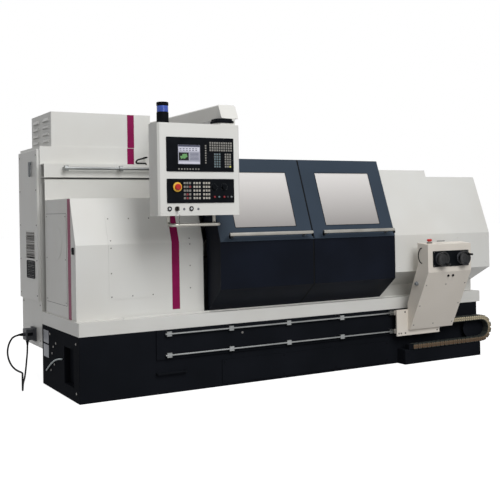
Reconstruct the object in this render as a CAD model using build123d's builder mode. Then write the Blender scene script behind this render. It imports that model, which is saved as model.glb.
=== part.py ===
from build123d import *
from math import cos, hypot, pi, radians, sin, sqrt, tan
import os

os.makedirs("parts", exist_ok=True)

# A flat-bed CNC turning lathe: black base, white covers, two sliding doors, a control panel on a boom,
# and a handwheel console that slides along the front of the base. All lengths are in millimetres.

# Values shared by many pieces
run_gap = 0.3
sheet = 4.0
overrun = 5.0
edge_break = 3.0

# Base and the white tray on it
base_length = 3460.0
base_depth = 835.0
base_height = 430.0
end_recess_front = 115.0
end_recess_width = 202.0
end_recess_bottom = 89.0
end_recess_height = 247.0
end_recess_deep = 40.0
tank_left = 1031.0
tank_right_margin = 952.0
tank_bottom = 20.0
tank_height = 163.0
tank_proud = 6.0
ledge_height = 90.0
ledge_overhang = 40.0
pocket_left = 958.0
pocket_right_margin = 75.0
pocket_front = 112.0
pocket_back_margin = 95.0
pocket_floor = 20.0
door_rail_left = 330.0
door_rail_right_margin = 330.0
door_rail_inset = 5.0
door_rail_width = 10.0

# Console rails on the base's front
rail_plate_left = 534.0
rail_plate_margin = 24.0
rail_plate_proud = 10.0
rail_left = 590.0
rail_right_margin = 440.0
rail_radius = 6.0
rail_reach = 30.0
upper_rail_height = 404.0
lower_rail_height = 261.0
bracket_count = 6
bracket_first = 29.0
bracket_last = 21.0
bracket_width = 36.0
bracket_height = 32.0
bracket_lap = 4.0

# Headstock cover
cover_left = 14.0
cover_right = 940.0
cover_front = 85.0
cover_slant_setback = 105.0
cover_rise = 806.0
crease_rise = 495.0
nose_hole_gap = 18.0

# Rear guard, guide beam and guide pole
guard_setback = 70.0
guard_rise = 958.0
beam_setback = 90.0
beam_rise = 971.0
beam_height = 99.0
beam_right_margin = 500.0
beam_wall = 6.0
beam_left = 5.0
guard_step = 950.0
pole_left = 140.0
pole_right_margin = 510.0
pole_radius = 11.0
pole_setback = 135.0
pole_rise = 1036.0
pole_clamp_width = 28.0
pole_clamp_radius = 20.0
pole_arm = 18.0
clamp_start_inset = 15.0
clamp_before_doors = 391.0
clamp_end_inset = 20.0

# Sliding doors
door_left = 965.0
door_split_share = 0.508
door_split_gap = 4.0
door_front_reach = 132.0
door_foot_setback = 68.0
door_floor_gap = 8.0
skirt_crease_rise = 168.0
skirt_sheet = 5.0
skirt_lap = 40.0
frame_proud = 6.0
frame_sheet = 8.0
door_top_setback = 78.0
door_rise = 1082.0
roof_setback = 103.0
end_wall_gap = 12.0
left_window_outer = 136.0
left_window_inner = 133.0
right_window_inner = 125.0
right_window_outer = 120.0
window_low = 101.0
window_height = 418.0
window_corner = 5.0
pane_thick = 4.0
pane_inset = 2.0
handle_rise = 30.0
handle_standoff = 60.0
handle_radius = 12.5
handle_margin = 46.0
handle_post_radius = 8.0
handle_post_inset = 45.0
bearing_half = 20.0
bearing_lift = 4.0
bearing_length = 56.0
bearing_inset = 19.0
bearing_spread_share = 0.57

# Tailstock cover on the right
tail_length = 1000.0
tail_gap = 15.0
tail_right_overhang = 40.0
tail_front_reach = 118.0
tail_wall_setback = 105.0
tail_wall_rise = 90.0
tail_crease_rise = 210.0
tail_rise = 960.0
tail_step_rise = 53.0
tail_step_length = 474.0

# Electrical cabinet behind the headstock, with its door and the louvred box on top
cabinet_width = 1120.0
cabinet_depth = 535.0
cabinet_bottom = 250.0
cabinet_height = 1472.0
cabinet_door_thick = 20.0
cabinet_door_margin = 15.0
cabinet_door_bottom = 340.0
cabinet_door_top = 22.0
cabinet_lip = 20.0
hinge_radius = 7.0
hinge_length = 70.0
hinge_inset = 90.0
hinge_count = 3
fan_from_front = 85.0
fan_width = 200.0
fan_height = 114.0
fan_rise = 170.0
fan_slots = 6
vent_height = 204.0
vent_slots = 9
vent_from_front = 79.0
vent_width = 225.0
vent_gap = 25.0
slot_share = 0.45
swing_handle_length = 112.0
swing_handle_width = 24.0
swing_handle_thick = 14.0
swing_handle_inset = 148.0
swing_handle_drop = 95.0
swing_boss_radius = 11.0
swing_boss_thick = 6.0
rack_plate = 6.0
rack_margin = 60.0
rack_module_depth = 190.0
rack_module_height = 330.0
rack_module_width = 105.0
rack_module_gap = 16.0
rack_module_count = 6
rack_duct_height = 60.0
rack_duct_depth = 70.0
box_left = 90.0
box_right_margin = 243.0
box_setback = 10.0
box_depth = 520.0
box_height = 258.0
louvre_rows = 4
louvre_columns = 2
louvre_length_share = 0.3
louvre_height = 12.0
louvre_pitch_share = 0.2

# Boom and its post on the cabinet
post_from_right = 154.0
post_setback = 95.0
post_radius = 55.0
post_flange_radius = 80.0
post_flange_thick = 14.0
post_height = 120.7
boom_width = 127.0
boom_height = 95.0
boom_tail = 70.0
boom_reach = 300.0
boom_end_bevel = 50.0
boom_edge = 8.0

# Control panel
panel_past_post = 40.0
panel_width = 589.0
panel_height = 593.0
panel_front_reach = 351.0
panel_depth = 156.0
panel_edge = 12.0
swivel_radius = 45.0
swivel_gap = 49.7
unit_width = 483.0
unit_inset = 57.0
unit_proud = 5.0
screen_unit_height = 220.0
screen_unit_drop = 90.0
machine_unit_height = 155.0
machine_unit_drop = 357.0
screen_width = 159.0
screen_height = 126.0
screen_left = 80.0
screen_drop = 48.0
screen_deep = 3.0
key_proud = 2.0
machine_key = 13.0
machine_key_pitch_x = 19.0
machine_key_pitch_z = 24.2
machine_key_rows = 5
machine_key_columns = 3
machine_block_left = 116.0
machine_block_pitch = 68.5
machine_block_count = 3
machine_key_drop = 21.0
letter_key = 11.0
letter_key_pitch = 17.0
letter_row_pitch = 16.0
letter_key_rows = 4
letter_key_columns = 10
letter_block_left = 305.0
letter_block_drop = 27.0
cursor_key_rows = 6
cursor_key_columns = 3
cursor_block_left = 338.0
cursor_block_drop = 101.0
edit_block_left = 416.0
edit_key_columns = 3
soft_key = 9.0
soft_key_count = 8
soft_column_left = 272.0
soft_row_drop = 200.0
stop_from_left = 69.0
stop_drop = 53.0
stop_collar_radius = 30.0
stop_collar_thick = 6.0
stop_stem_radius = 11.0
stop_cap_radius = 20.0
stop_cap_thick = 16.0
stop_travel = 5.0
cap_bevel_share = 0.33
dial_from_left = 332.0
dial_pitch = 74.0
dial_drop = 53.0
dial_radius = 17.0
dial_thick = 16.0
dial_pointer = 3.0
key_from_left = 126.0
key_rise = 45.0
key_collar_radius = 15.0
key_collar_thick = 7.0
key_bow_width = 6.0
key_bow_height = 26.0
key_bow_length = 24.0
panel_handle_left = 113.0
panel_handle_width = 331.0
panel_handle_drop = 60.0
panel_handle_radius = 11.0
panel_handle_corner = 24.0
panel_handle_setback = 21.0
panel_handle_reach = 86.0
lamp_from_left = 72.0
lamp_setback = 81.0
lamp_radius = 39.0
lamp_base_height = 74.0
lamp_lens_height = 40.0
lamp_cap_height = 24.0
lamp_groove = 3.0

# Handwheel console
console_plate_from_right = 930.0
console_plate_width = 434.0
console_plate_thick = 12.0
console_plate_gap = 39.0
console_plate_bottom = 227.0
console_plate_top = 431.0
shoe_length = 60.0
shoe_inset = 14.0
shoe_height = 34.0
console_from_right = 820.0
console_width = 440.0
stand_bottom = 272.0
stand_bottom_reach = 110.0
stand_waist = 730.0
head_top = 944.0
head_reach = 335.0
head_back_reach = 216.0
head_back_rise = 11.0
head_back_bottom = 785.0
stand_foot_height = 480.0
face_left = 47.0
face_width = 363.0
face_bottom = 771.0
face_height = 121.0
face_thick = 6.0
wheel_first = 117.0
wheel_pitch = 218.0
wheel_height = 832.0
wheel_radius = 55.0
wheel_rim = 9.0
wheel_hub_radius = 17.0
wheel_hub_length = 30.0
wheel_dish = 14.0
wheel_web = 6.0
grip_radius = 8.0
grip_length = 46.0
grip_angle_left = -60.0
grip_angle_right = 38.0
console_stop_left = 60.0
console_stop_setback = 50.0
console_stop_base = 15.0
console_collar_radius = 18.0

# Energy chain of the console
chain_fixed_from_right = 781.0
chain_bend_links = 6
chain_lower_links = 16
chain_upper_links = 7
chain_pitch = 46.0
chain_height = 40.0
chain_width = 56.0
chain_wall = 6.0
chain_clear = 12.0
shelf_height = 113.7
shelf_lip = 8.0
shelf_from_right = 860.0
shelf_right_margin = 60.0
chain_bracket = 39.0

# Machine inside the covers: bed, headstock, spindle, slides and tailstock
spindle_forward = 7.5
spindle_rise = 610.0
spindle_radius = 60.0
spindle_bore_radius = 40.0
nose_radius = 100.0
nose_thick = 22.0
nose_gap = 20.0
headstock_left = 180.0
headstock_gap = 18.0
headstock_width = 370.0
headstock_leg = 60.0
headstock_portal_rise = 385.0
headstock_top_rise = 785.0
headstock_bevel = 60.0
pulley_width = 70.0
pulley_gap = 20.0
spindle_pulley_radius = 120.0
motor_pulley_radius = 75.0
belt_thick = 8.0
belt_inset_share = 0.125
motor_rise = 200.0
motor_radius = 100.0
motor_length = 430.0
motor_shaft_radius = 24.0
motor_foot_width = 150.0
chuck_radius = 157.0
chuck_thick = 118.0
chuck_bevel = 10.0
jaw_width = 40.0
jaw_slot_depth = 26.0
jaw_length = 84.0
jaw_inner = 62.0
jaw_proud = 48.0
jaw_step = 34.0
jaw_travel = 8.0
bed_gap = 2.0
bed_right_margin = 120.0
bed_width = 330.0
bed_rise = 365.0
bed_waist_share = 0.72
way_width = 62.0
way_height = 26.0
bed_foot_height = 70.0
saddle_from_doors = 385.0
saddle_length = 360.0
saddle_width = 470.0
saddle_thick = 74.0
apron_drop = 190.0
apron_thick = 60.0
cross_length = 230.0
cross_width = 400.0
cross_thick = 50.0
cross_dovetail = 24.0
turret_setback = 150.0
turret_housing_length = 170.0
turret_housing_width = 190.0
turret_disc_radius = 98.0
turret_disc_thick = 62.0
turret_stations = 8
tool_width = 32.0
tool_reach = 30.0
turret_cap_radius = 40.0
turret_cap_thick = 10.0
tail_body_right_margin = 250.0
tail_body_length = 330.0
tail_body_width = 230.0
tail_barrel_radius = 88.0
quill_radius = 45.0
quill_out = 110.0
center_radius = 24.0
center_length = 60.0

# Mains connector on the cabinet, and its cord
plug_setback = 150.0
plug_rise = 35.0
plug_width = 120.0
plug_height = 100.0
plug_flange = 14.0
plug_hood_reach = 61.0
plug_hood_inset = 10.0
gland_radius = 13.0
gland_length = 12.0
gland_setback = 95.0
cord_radius = 6.5
cord_corner_share = 0.45
cord_route = [
    (-56.0, 1070.0, 130.0),
    (-74.0, 1030.0, 66.0),
    (-100.0, 962.0, 26.0),
    (-132.0, 880.0, 9.0),
    (-160.0, 780.0, 7.0),
    (-182.0, 700.0, 7.0),
    (-205.7, 610.8, 7.0),
    (-214.5, 578.0, 41.0),
    (-214.5, 578.0, 89.0),
    (-205.7, 610.8, 123.0),
    (-192.5, 660.0, 123.0),
    (-211.0, 750.0, 127.0),
    (-222.0, 840.0, 145.0),
    (-222.0, 940.0, 182.0),
    (-214.0, 1000.0, 232.0),
    (-190.0, 1036.0, 288.0),
]
cord_drop = 72.0
cord_lead = 63.0

# Held cable that hooks from the cabinet's front into the guide beam
hook_from_left = 815.0
hook_radius = 6.0
hook_drop = 72.0
hook_reach = 70.0
hook_side = 87.0
hook_step = 23.0
hook_back = 45.0
hook_corner = 16.0
hook_end_corner = 9.0

# Heights and places that several pieces share
deck = base_height + ledge_height
crease = deck + crease_rise
cabinet_top = cabinet_bottom + cabinet_height
spindle_behind = base_depth / 2 - spindle_forward
spindle_height = deck + spindle_rise
way_top = deck + bed_rise
guard_front = base_depth - guard_setback
beam_front = base_depth - beam_setback
beam_right = base_length - beam_right_margin
pole_behind = base_depth - pole_setback
pole_right = base_length - pole_right_margin
roof_back = base_depth - roof_setback
door_right = base_length + tail_right_overhang - tail_length - tail_gap
door_split = door_left + door_split_share * (door_right - door_left)
pole_clamps = (
    pole_left + clamp_start_inset,
    door_left - clamp_before_doors,
    door_split,
    pole_right - clamp_end_inset,
)
box_width = cabinet_width - box_left - box_right_margin
post_from_left = cabinet_width - post_from_right
panel_left = post_from_left + panel_past_post - panel_width
console_plate_left = base_length - console_plate_from_right
console_left = base_length - console_from_right
chain_fixed_left = base_length - chain_fixed_from_right
shelf_left = base_length - shelf_from_right
saddle_left = door_right - saddle_from_doors
tail_body_left = base_length - tail_body_right_margin - tail_body_length


def along(distance):
    # Distance from the base's left end, in the part's frame.
    return distance - base_length / 2


def behind(distance):
    # Distance behind the base's front face, in the part's frame.
    return distance - base_depth / 2


def block(x_span, y_span, z_span, mode=Mode.ADD):
    # Rectangular body that fills three spans.
    middle = ((x_span[0] + x_span[1]) / 2, (y_span[0] + y_span[1]) / 2, z_span[0])
    with BuildSketch(Plane(middle)) as outline:
        Rectangle(x_span[1] - x_span[0], y_span[1] - y_span[0])
    extrude(outline.sketch, amount=z_span[1] - z_span[0], mode=mode)


def prism(points, x_span, mode=Mode.ADD):
    # A section in Y and Z, carried along X.
    with BuildSketch(Plane.YZ.offset(x_span[0])) as outline:
        with BuildLine():
            Polyline(*points, close=True)
        make_face()
    extrude(outline.sketch, amount=x_span[1] - x_span[0], mode=mode)


def rod(start, direction, radius, length, mode=Mode.ADD):
    # Round bar from a point along a direction.
    with BuildSketch(Plane(start, z_dir=direction)) as outline:
        Circle(radius)
    extrude(outline.sketch, amount=length, mode=mode)


def inset_line(points, thickness):
    # A fold line moved to its right by a sheet's thickness, with mitred corners.
    line = [Vector(*point) for point in points]
    last = len(line) - 1
    moved = []
    for place, corner in enumerate(line):
        start = line[max(place - 1, 0)]
        middle = line[min(max(place, 1), last)] if place == 0 else corner
        end = line[min(place + 1, last)]
        into = (middle - start).normalized() if place > 0 else (end - corner).normalized()
        out = (end - corner).normalized() if place < last else into
        side_in = Vector(into.Y, -into.X)
        side_out = Vector(out.Y, -out.X)
        bisector = (side_in + side_out).normalized()
        shifted = corner + bisector * (thickness / bisector.dot(side_in))
        moved.append((shifted.X, shifted.Y))
    return moved


def folded(points, thickness):
    # Closed section of a folded sheet that lies to the right of its outer line.
    return list(points) + inset_line(points, thickness)[::-1]


def keep(piece, name):
    # Label a finished piece and write it.
    piece.part.label = name
    export_step(piece.part, f"parts/{name}.step")


# Base: welded box with an end recess, a tank front, a rail plate and the shelf of the energy chain
rail_right = base_length - rail_right_margin
rail_length = rail_right - rail_left
bracket_pitch = (rail_length - bracket_first - bracket_last) / (bracket_count - 1)
chain_half_turn = pi / 2 / chain_bend_links
chain_radius = chain_pitch / 2 / sin(chain_half_turn)
chain_bend_x = along(chain_fixed_left + chain_lower_links * chain_pitch)
chain_low = shelf_height + run_gap + chain_height / 2
chain_high = chain_low + 2 * chain_radius
chain_back = behind(-rail_reach - rail_radius - chain_clear)
chain_front = chain_back - chain_width
plate_span = (lower_rail_height - rail_plate_margin - rail_radius, upper_rail_height + rail_plate_margin)
with BuildPart() as base:
    block((along(0), along(base_length)), (behind(0), behind(base_depth)), (0, base_height))
    chamfer(base.edges().filter_by(Axis.Z), edge_break)
    block(
        (along(-overrun), along(end_recess_deep)),
        (behind(end_recess_front), behind(end_recess_front + end_recess_width)),
        (end_recess_bottom, end_recess_bottom + end_recess_height),
        Mode.SUBTRACT,
    )
    block((along(rail_plate_left), along(rail_right)), (behind(-rail_plate_proud), behind(0)), plate_span)
    block(
        (along(tank_left), along(base_length - tank_right_margin)),
        (behind(-tank_proud), behind(0)),
        (tank_bottom, tank_bottom + tank_height),
    )
    prism(
        [
            (behind(0), 0),
            (chain_front + shelf_lip, 0),
            (chain_front + shelf_lip, shelf_height - shelf_lip),
            (chain_front + shelf_lip + shelf_lip, shelf_height),
            (behind(0), shelf_height),
        ],
        (along(shelf_left), along(base_length - shelf_right_margin)),
    )
    block(
        (along(chain_fixed_left - chain_bracket), along(chain_fixed_left)),
        (chain_front + shelf_lip, chain_back),
        (shelf_height, chain_low + chain_height / 2),
    )
keep(base, "base")

# Tray: white ledge round the top of the base, with a chip pocket under the work space
with BuildPart() as chip_tray:
    tray_right = along(base_length + ledge_overhang)
    block((along(0), tray_right), (behind(0), behind(base_depth)), (base_height, deck))
    chamfer(chip_tray.edges().filter_by(Axis.Z), edge_break)
    block(
        (along(pocket_left), tray_right - pocket_right_margin),
        (behind(pocket_front), behind(base_depth - pocket_back_margin)),
        (base_height + pocket_floor, deck + overrun),
        Mode.SUBTRACT,
    )
    rail_back = behind(door_foot_setback + door_rail_inset)
    block(
        (along(door_rail_left), along(base_length - door_rail_right_margin)),
        (rail_back - door_rail_width, rail_back),
        (deck, deck + door_floor_gap - run_gap),
    )
keep(chip_tray, "chip_tray")

# Console rails: two ground rods on clamp brackets
with BuildPart() as console_rails:
    for rail_height in (upper_rail_height, lower_rail_height):
        rod((along(rail_left), behind(-rail_reach), rail_height), (1, 0, 0), rail_radius, rail_length)
        for place in range(bracket_count):
            middle = along(rail_left + bracket_first + place * bracket_pitch)
            block(
                (middle - bracket_width / 2, middle + bracket_width / 2),
                (behind(-rail_reach - bracket_lap), behind(-rail_plate_proud)),
                (rail_height - bracket_height / 2, rail_height + bracket_height / 2),
            )
keep(console_rails, "console_rails")

# Headstock cover: folded hood with both end walls, open below and behind
cover_top = deck + cover_rise
cover_fold = [
    (behind(cover_front), deck),
    (behind(cover_front), crease),
    (behind(cover_front + cover_slant_setback), cover_top),
    (behind(guard_front), cover_top),
]
with BuildPart() as headstock_cover:
    prism(cover_fold + [(behind(guard_front), deck)], (along(cover_left), along(cover_right)))
    inner_fold = inset_line(cover_fold, sheet)
    inner_front = inner_fold[0][0]
    inner_roof = inner_fold[-1][1]
    prism(
        [(inner_front, deck - overrun)]
        + inner_fold[1:3]
        + [(behind(guard_front + overrun), inner_roof), (behind(guard_front + overrun), deck - overrun)],
        (along(cover_left + sheet), along(cover_right - sheet)),
        Mode.SUBTRACT,
    )
    rod(
        (along(cover_right - sheet - overrun), behind(spindle_behind), spindle_height),
        (1, 0, 0),
        nose_radius + nose_hole_gap,
        sheet + 2 * overrun,
        Mode.SUBTRACT,
    )
keep(headstock_cover, "headstock_cover")

# Rear guard: the sheet wall behind the work space, which also carries the guide beam
beam_low = deck + beam_rise
with BuildPart() as rear_guard:
    low_line = [(behind(guard_front), deck), (behind(guard_front), deck + guard_rise)]
    prism(folded(low_line, sheet), (along(cover_left), along(guard_step)))
    high_line = [(behind(guard_front), deck), (behind(guard_front), beam_low)]
    prism(folded(high_line, sheet), (along(guard_step), along(base_length)))
keep(rear_guard, "rear_guard")

# Guide beam: hollow box beam on the cabinet's front and on the rear guard
beam_span = (along(beam_left), along(beam_right))
with BuildPart() as guide_beam:
    block(beam_span, (behind(beam_front), behind(base_depth)), (beam_low, beam_low + beam_height))
    block(
        (beam_span[0] - overrun, beam_span[1] + overrun),
        (behind(beam_front + beam_wall), behind(base_depth - beam_wall)),
        (beam_low + beam_wall, beam_low + beam_height - beam_wall),
        Mode.SUBTRACT,
    )
keep(guide_beam, "guide_beam")

# Guide pole: round door rail in ring clamps, each with an arm to the beam
pole_height = deck + pole_rise
with BuildPart() as guide_pole:
    rod((along(pole_left), behind(pole_behind), pole_height), (1, 0, 0), pole_radius, pole_right - pole_left)
    for clamp_middle in pole_clamps:
        clamp_left = along(clamp_middle - pole_clamp_width / 2)
        rod((clamp_left, behind(pole_behind), pole_height), (1, 0, 0), pole_clamp_radius, pole_clamp_width)
        block(
            (clamp_left, clamp_left + pole_clamp_width),
            (behind(pole_behind), behind(beam_front)),
            (pole_height - pole_arm / 2, pole_height + pole_arm / 2),
        )
keep(guide_pole, "guide_pole")

# Sliding doors: each has a slanted window frame with a roof, a folded skirt, a pane and a handle
door_top = deck + door_rise
frame_front = -door_front_reach - frame_proud
frame_line = [
    (behind(frame_front), crease),
    (behind(door_top_setback), door_top),
    (behind(roof_back), door_top),
]
slant_run = door_top_setback - frame_front
slant_rise = door_top - crease
slant_length = hypot(slant_run, slant_rise)
slant_up = Vector(0, slant_run / slant_length, slant_rise / slant_length)
slant_out = Vector(0, -slant_up.Z, slant_up.Y)
slant_foot = Vector(0, behind(frame_front), crease)
frame_inner = inset_line(frame_line, frame_sheet)
lap_share = (behind(-door_front_reach) - frame_inner[0][0]) / slant_run
lap_start = frame_inner[0][1] + lap_share * slant_rise
skirt_line = [
    (behind(door_foot_setback), deck + door_floor_gap),
    (behind(-door_front_reach), deck + skirt_crease_rise),
    (behind(-door_front_reach), lap_start),
    (behind(-door_front_reach) + skirt_lap * slant_up.Y, lap_start + skirt_lap * slant_up.Z),
]
end_wall_back = pole_behind - pole_clamp_radius - end_wall_gap
end_wall_inner = [
    (behind(end_wall_back), frame_inner[-1][1]),
    (behind(end_wall_back), cover_top + end_wall_gap),
    (behind(cover_front + cover_slant_setback - end_wall_gap), cover_top + end_wall_gap),
    (behind(cover_front - end_wall_gap), crease + end_wall_gap),
]


def slant_plane(middle_x, up, out):
    # Plane on the slanted frame, a given way up the slant and out from its face.
    origin = Vector(middle_x, 0, 0) + slant_foot + slant_up * up + slant_out * out
    return Plane(origin, x_dir=(1, 0, 0), z_dir=slant_out)


def door_pieces(side, door_span, window_span, bearing_lefts):
    # One door: its frame, skirt, pane and handle, written under the side's name.
    window_middle = along((window_span[0] + window_span[1]) / 2)
    window_width = window_span[1] - window_span[0]
    window_up = window_low + window_height / 2
    span = (along(door_span[0]), along(door_span[1]))
    with BuildPart() as frame:
        prism(folded(frame_line, frame_sheet), span)
        with BuildSketch(slant_plane(window_middle, window_up, overrun)) as opening:
            RectangleRounded(window_width, window_height, window_corner)
        extrude(opening.sketch, amount=-frame_sheet - 2 * overrun, mode=Mode.SUBTRACT)
        for bearing_left in bearing_lefts:
            bearing_span = (along(bearing_left), along(bearing_left + bearing_length))
            block(
                bearing_span,
                (behind(pole_behind - bearing_half), behind(pole_behind + bearing_half)),
                (pole_height + bearing_lift, frame_inner[-1][1]),
            )
            rod(
                (bearing_span[0] - overrun, behind(pole_behind), pole_height),
                (1, 0, 0),
                pole_radius + run_gap,
                bearing_length + 2 * overrun,
                Mode.SUBTRACT,
            )
    keep(frame, f"{side}_door_frame")

    with BuildPart() as skirt:
        prism(folded(skirt_line, skirt_sheet), span)
        if side == "left":
            prism(skirt_line + frame_inner[1:2] + end_wall_inner, (span[0], span[0] + sheet))
    keep(skirt, f"{side}_door_skirt")

    with BuildPart() as pane:
        with BuildSketch(slant_plane(window_middle, window_up, -pane_inset)) as glass:
            RectangleRounded(window_width - run_gap, window_height - run_gap, window_corner)
        extrude(glass.sketch, amount=-pane_thick)
    keep(pane, f"{side}_window")

    handle_span = (span[0] + handle_margin, span[1] - handle_margin)
    with BuildPart() as handle:
        bar_start = slant_plane(handle_span[0], handle_rise, handle_standoff).origin
        rod(bar_start, (1, 0, 0), handle_radius, handle_span[1] - handle_span[0])
        for post_x in (handle_span[0] + handle_post_inset, handle_span[1] - handle_post_inset):
            with BuildSketch(slant_plane(post_x, handle_rise, 0)) as post:
                Circle(handle_post_radius)
            extrude(post.sketch, amount=handle_standoff)
    keep(handle, f"{side}_door_handle")


left_span = (door_left, door_split - door_split_gap / 2)
right_span = (door_split + door_split_gap / 2, door_right)
left_bearing = door_split - bearing_inset - bearing_length
right_bearing = door_split + bearing_inset + door_split_gap
left_bearings = (left_bearing - bearing_spread_share * (left_span[1] - left_span[0]), left_bearing)
right_bearings = (right_bearing, right_bearing + bearing_spread_share * (right_span[1] - right_span[0]))
left_window_span = (left_span[0] + left_window_outer, left_span[1] - left_window_inner)
right_window_span = (right_span[0] + right_window_inner, right_span[1] - right_window_outer)
door_pieces("left", left_span, left_window_span, left_bearings)
door_pieces("right", right_span, right_window_span, right_bearings)

# Tailstock cover: folded hood on the right, with a higher step beside the door
tail_left = along(door_right + tail_gap)
tail_right = along(base_length + tail_right_overhang)
tail_top = deck + tail_rise
tail_slant = slant_run / slant_rise
tail_line = [
    (behind(tail_wall_setback), deck),
    (behind(tail_wall_setback), deck + tail_wall_rise),
    (behind(-tail_front_reach), deck + tail_crease_rise),
    (behind(-tail_front_reach), crease),
    (behind(-tail_front_reach) + tail_slant * (tail_top - crease), tail_top),
    (behind(guard_front), tail_top),
]
step_right = tail_left + tail_step_length
step_top = tail_top + tail_step_rise
step_back = behind(beam_front - run_gap)
step_line = [
    tail_line[4],
    (tail_line[4][0] + tail_slant * tail_step_rise, step_top),
    (step_back, step_top),
    (step_back, tail_top),
]
with BuildPart() as tailstock_cover:
    prism(tail_line + [(behind(guard_front), deck)], (tail_left, tail_right))
    prism(step_line, (tail_left, step_right))
    tail_inner = inset_line(tail_line, sheet)
    hollow_back = behind(guard_front + overrun)
    prism(
        [(tail_inner[0][0], deck - overrun)]
        + tail_inner[1:5]
        + [(hollow_back, tail_inner[5][1]), (hollow_back, deck - overrun)],
        (tail_left - overrun, tail_right - sheet),
        Mode.SUBTRACT,
    )
    step_inner = inset_line(step_line, sheet)
    prism(
        [(step_inner[0][0], tail_top - sheet)] + step_inner[1:3] + [(step_inner[3][0], tail_top - sheet)],
        (tail_left - overrun, step_right - sheet),
        Mode.SUBTRACT,
    )
keep(tailstock_cover, "tailstock_cover")

# Electrical cabinet: sheet box behind the headstock, open to its door on the left
cabinet_y = (behind(base_depth), behind(base_depth + cabinet_depth))
door_y = (cabinet_y[0] + cabinet_door_margin, cabinet_y[1] - cabinet_door_margin)
door_z = (cabinet_bottom + cabinet_door_bottom, cabinet_top - cabinet_door_top)
with BuildPart() as cabinet:
    block((along(0), along(cabinet_width)), cabinet_y, (cabinet_bottom, cabinet_top))
    block(
        (along(sheet), along(cabinet_width - sheet)),
        (cabinet_y[0] + sheet, cabinet_y[1] - sheet),
        (cabinet_bottom + sheet, cabinet_top - sheet),
        Mode.SUBTRACT,
    )
    block(
        (along(-overrun), along(sheet + overrun)),
        (door_y[0] + cabinet_lip, door_y[1] - cabinet_lip),
        (door_z[0] + cabinet_lip, door_z[1] - cabinet_lip),
        Mode.SUBTRACT,
    )
keep(cabinet, "cabinet")

# Cabinet door: flanged sheet with a fan grille and a vent, hinged at its back edge
door_face = along(-run_gap)
fan_low = door_z[0] + fan_rise
vent_low = fan_low + fan_height + vent_gap
fan_y = (door_y[0] + fan_from_front, door_y[0] + fan_from_front + fan_width)
vent_y = (door_y[0] + vent_from_front, door_y[0] + vent_from_front + vent_width)
grilles = ((fan_y, fan_low, fan_height, fan_slots), (vent_y, vent_low, vent_height, vent_slots))
with BuildPart() as cabinet_door:
    block((door_face - cabinet_door_thick, door_face), door_y, door_z)
    chamfer(cabinet_door.faces().sort_by(Axis.X)[0].edges(), edge_break)
    block(
        (door_face - cabinet_door_thick + sheet, door_face + overrun),
        (door_y[0] + sheet, door_y[1] - sheet),
        (door_z[0] + sheet, door_z[1] - sheet),
        Mode.SUBTRACT,
    )
    for slot_y, slot_low, slots_height, slots in grilles:
        slot_pitch = slots_height / slots
        for place in range(slots):
            slot_z = slot_low + place * slot_pitch
            block(
                (door_face - cabinet_door_thick - overrun, door_face - cabinet_door_thick + sheet + overrun),
                slot_y,
                (slot_z, slot_z + slot_pitch * slot_share),
                Mode.SUBTRACT,
            )
    hinge_step = (door_z[1] - door_z[0] - 2 * hinge_inset - hinge_length) / (hinge_count - 1)
    for place in range(hinge_count):
        hinge_low = door_z[0] + hinge_inset + place * hinge_step
        rod(
            (door_face - cabinet_door_thick / 2, door_y[1], hinge_low),
            (0, 0, 1),
            hinge_radius,
            hinge_length,
        )
keep(cabinet_door, "cabinet_door")

# Swing handle of the cabinet door: a boss and a lever that turns about X
lever_face = door_face - cabinet_door_thick
lever_y = door_y[0] + swing_handle_inset
lever_z = door_z[1] - swing_handle_drop
with BuildPart() as cabinet_handle:
    rod((lever_face - run_gap, lever_y, lever_z), (-1, 0, 0), swing_boss_radius, swing_boss_thick)
    lever_back = lever_face - run_gap - swing_boss_thick
    with BuildSketch(Plane((lever_back, lever_y, lever_z), x_dir=(0, 0, -1), z_dir=(-1, 0, 0))):
        with Locations((swing_handle_length / 2 - swing_handle_width / 2, 0)):
            SlotOverall(swing_handle_length, swing_handle_width)
    extrude(amount=swing_handle_thick)
    chamfer(cabinet_handle.faces().sort_by(Axis.X)[0].edges(), edge_break)
keep(cabinet_handle, "cabinet_handle")

# Drive rack in the cabinet: mounting plate with drive modules between two wiring ducts
rack_back = cabinet_y[1] - sheet
rack_x = (along(rack_margin), along(cabinet_width - rack_margin))
rack_middle_z = (cabinet_bottom + cabinet_top) / 2
with BuildPart() as drive_rack:
    rack_z = (cabinet_bottom + rack_margin, cabinet_top - rack_margin)
    block(rack_x, (rack_back - rack_plate, rack_back), rack_z)
    for place in range(rack_module_count):
        module_left = rack_x[0] + rack_margin + place * (rack_module_width + rack_module_gap)
        block(
            (module_left, module_left + rack_module_width),
            (rack_back - rack_plate - rack_module_depth, rack_back - rack_plate),
            (rack_middle_z - rack_module_height / 2, rack_middle_z + rack_module_height / 2),
        )
    duct_lows = (rack_middle_z - rack_module_height, rack_middle_z + rack_module_height - rack_duct_height)
    for duct_low in duct_lows:
        block(
            (rack_x[0] + rack_margin, rack_x[1] - rack_margin),
            (rack_back - rack_plate - rack_duct_depth, rack_back - rack_plate),
            (duct_low, duct_low + rack_duct_height),
        )
keep(drive_rack, "drive_rack")

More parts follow.
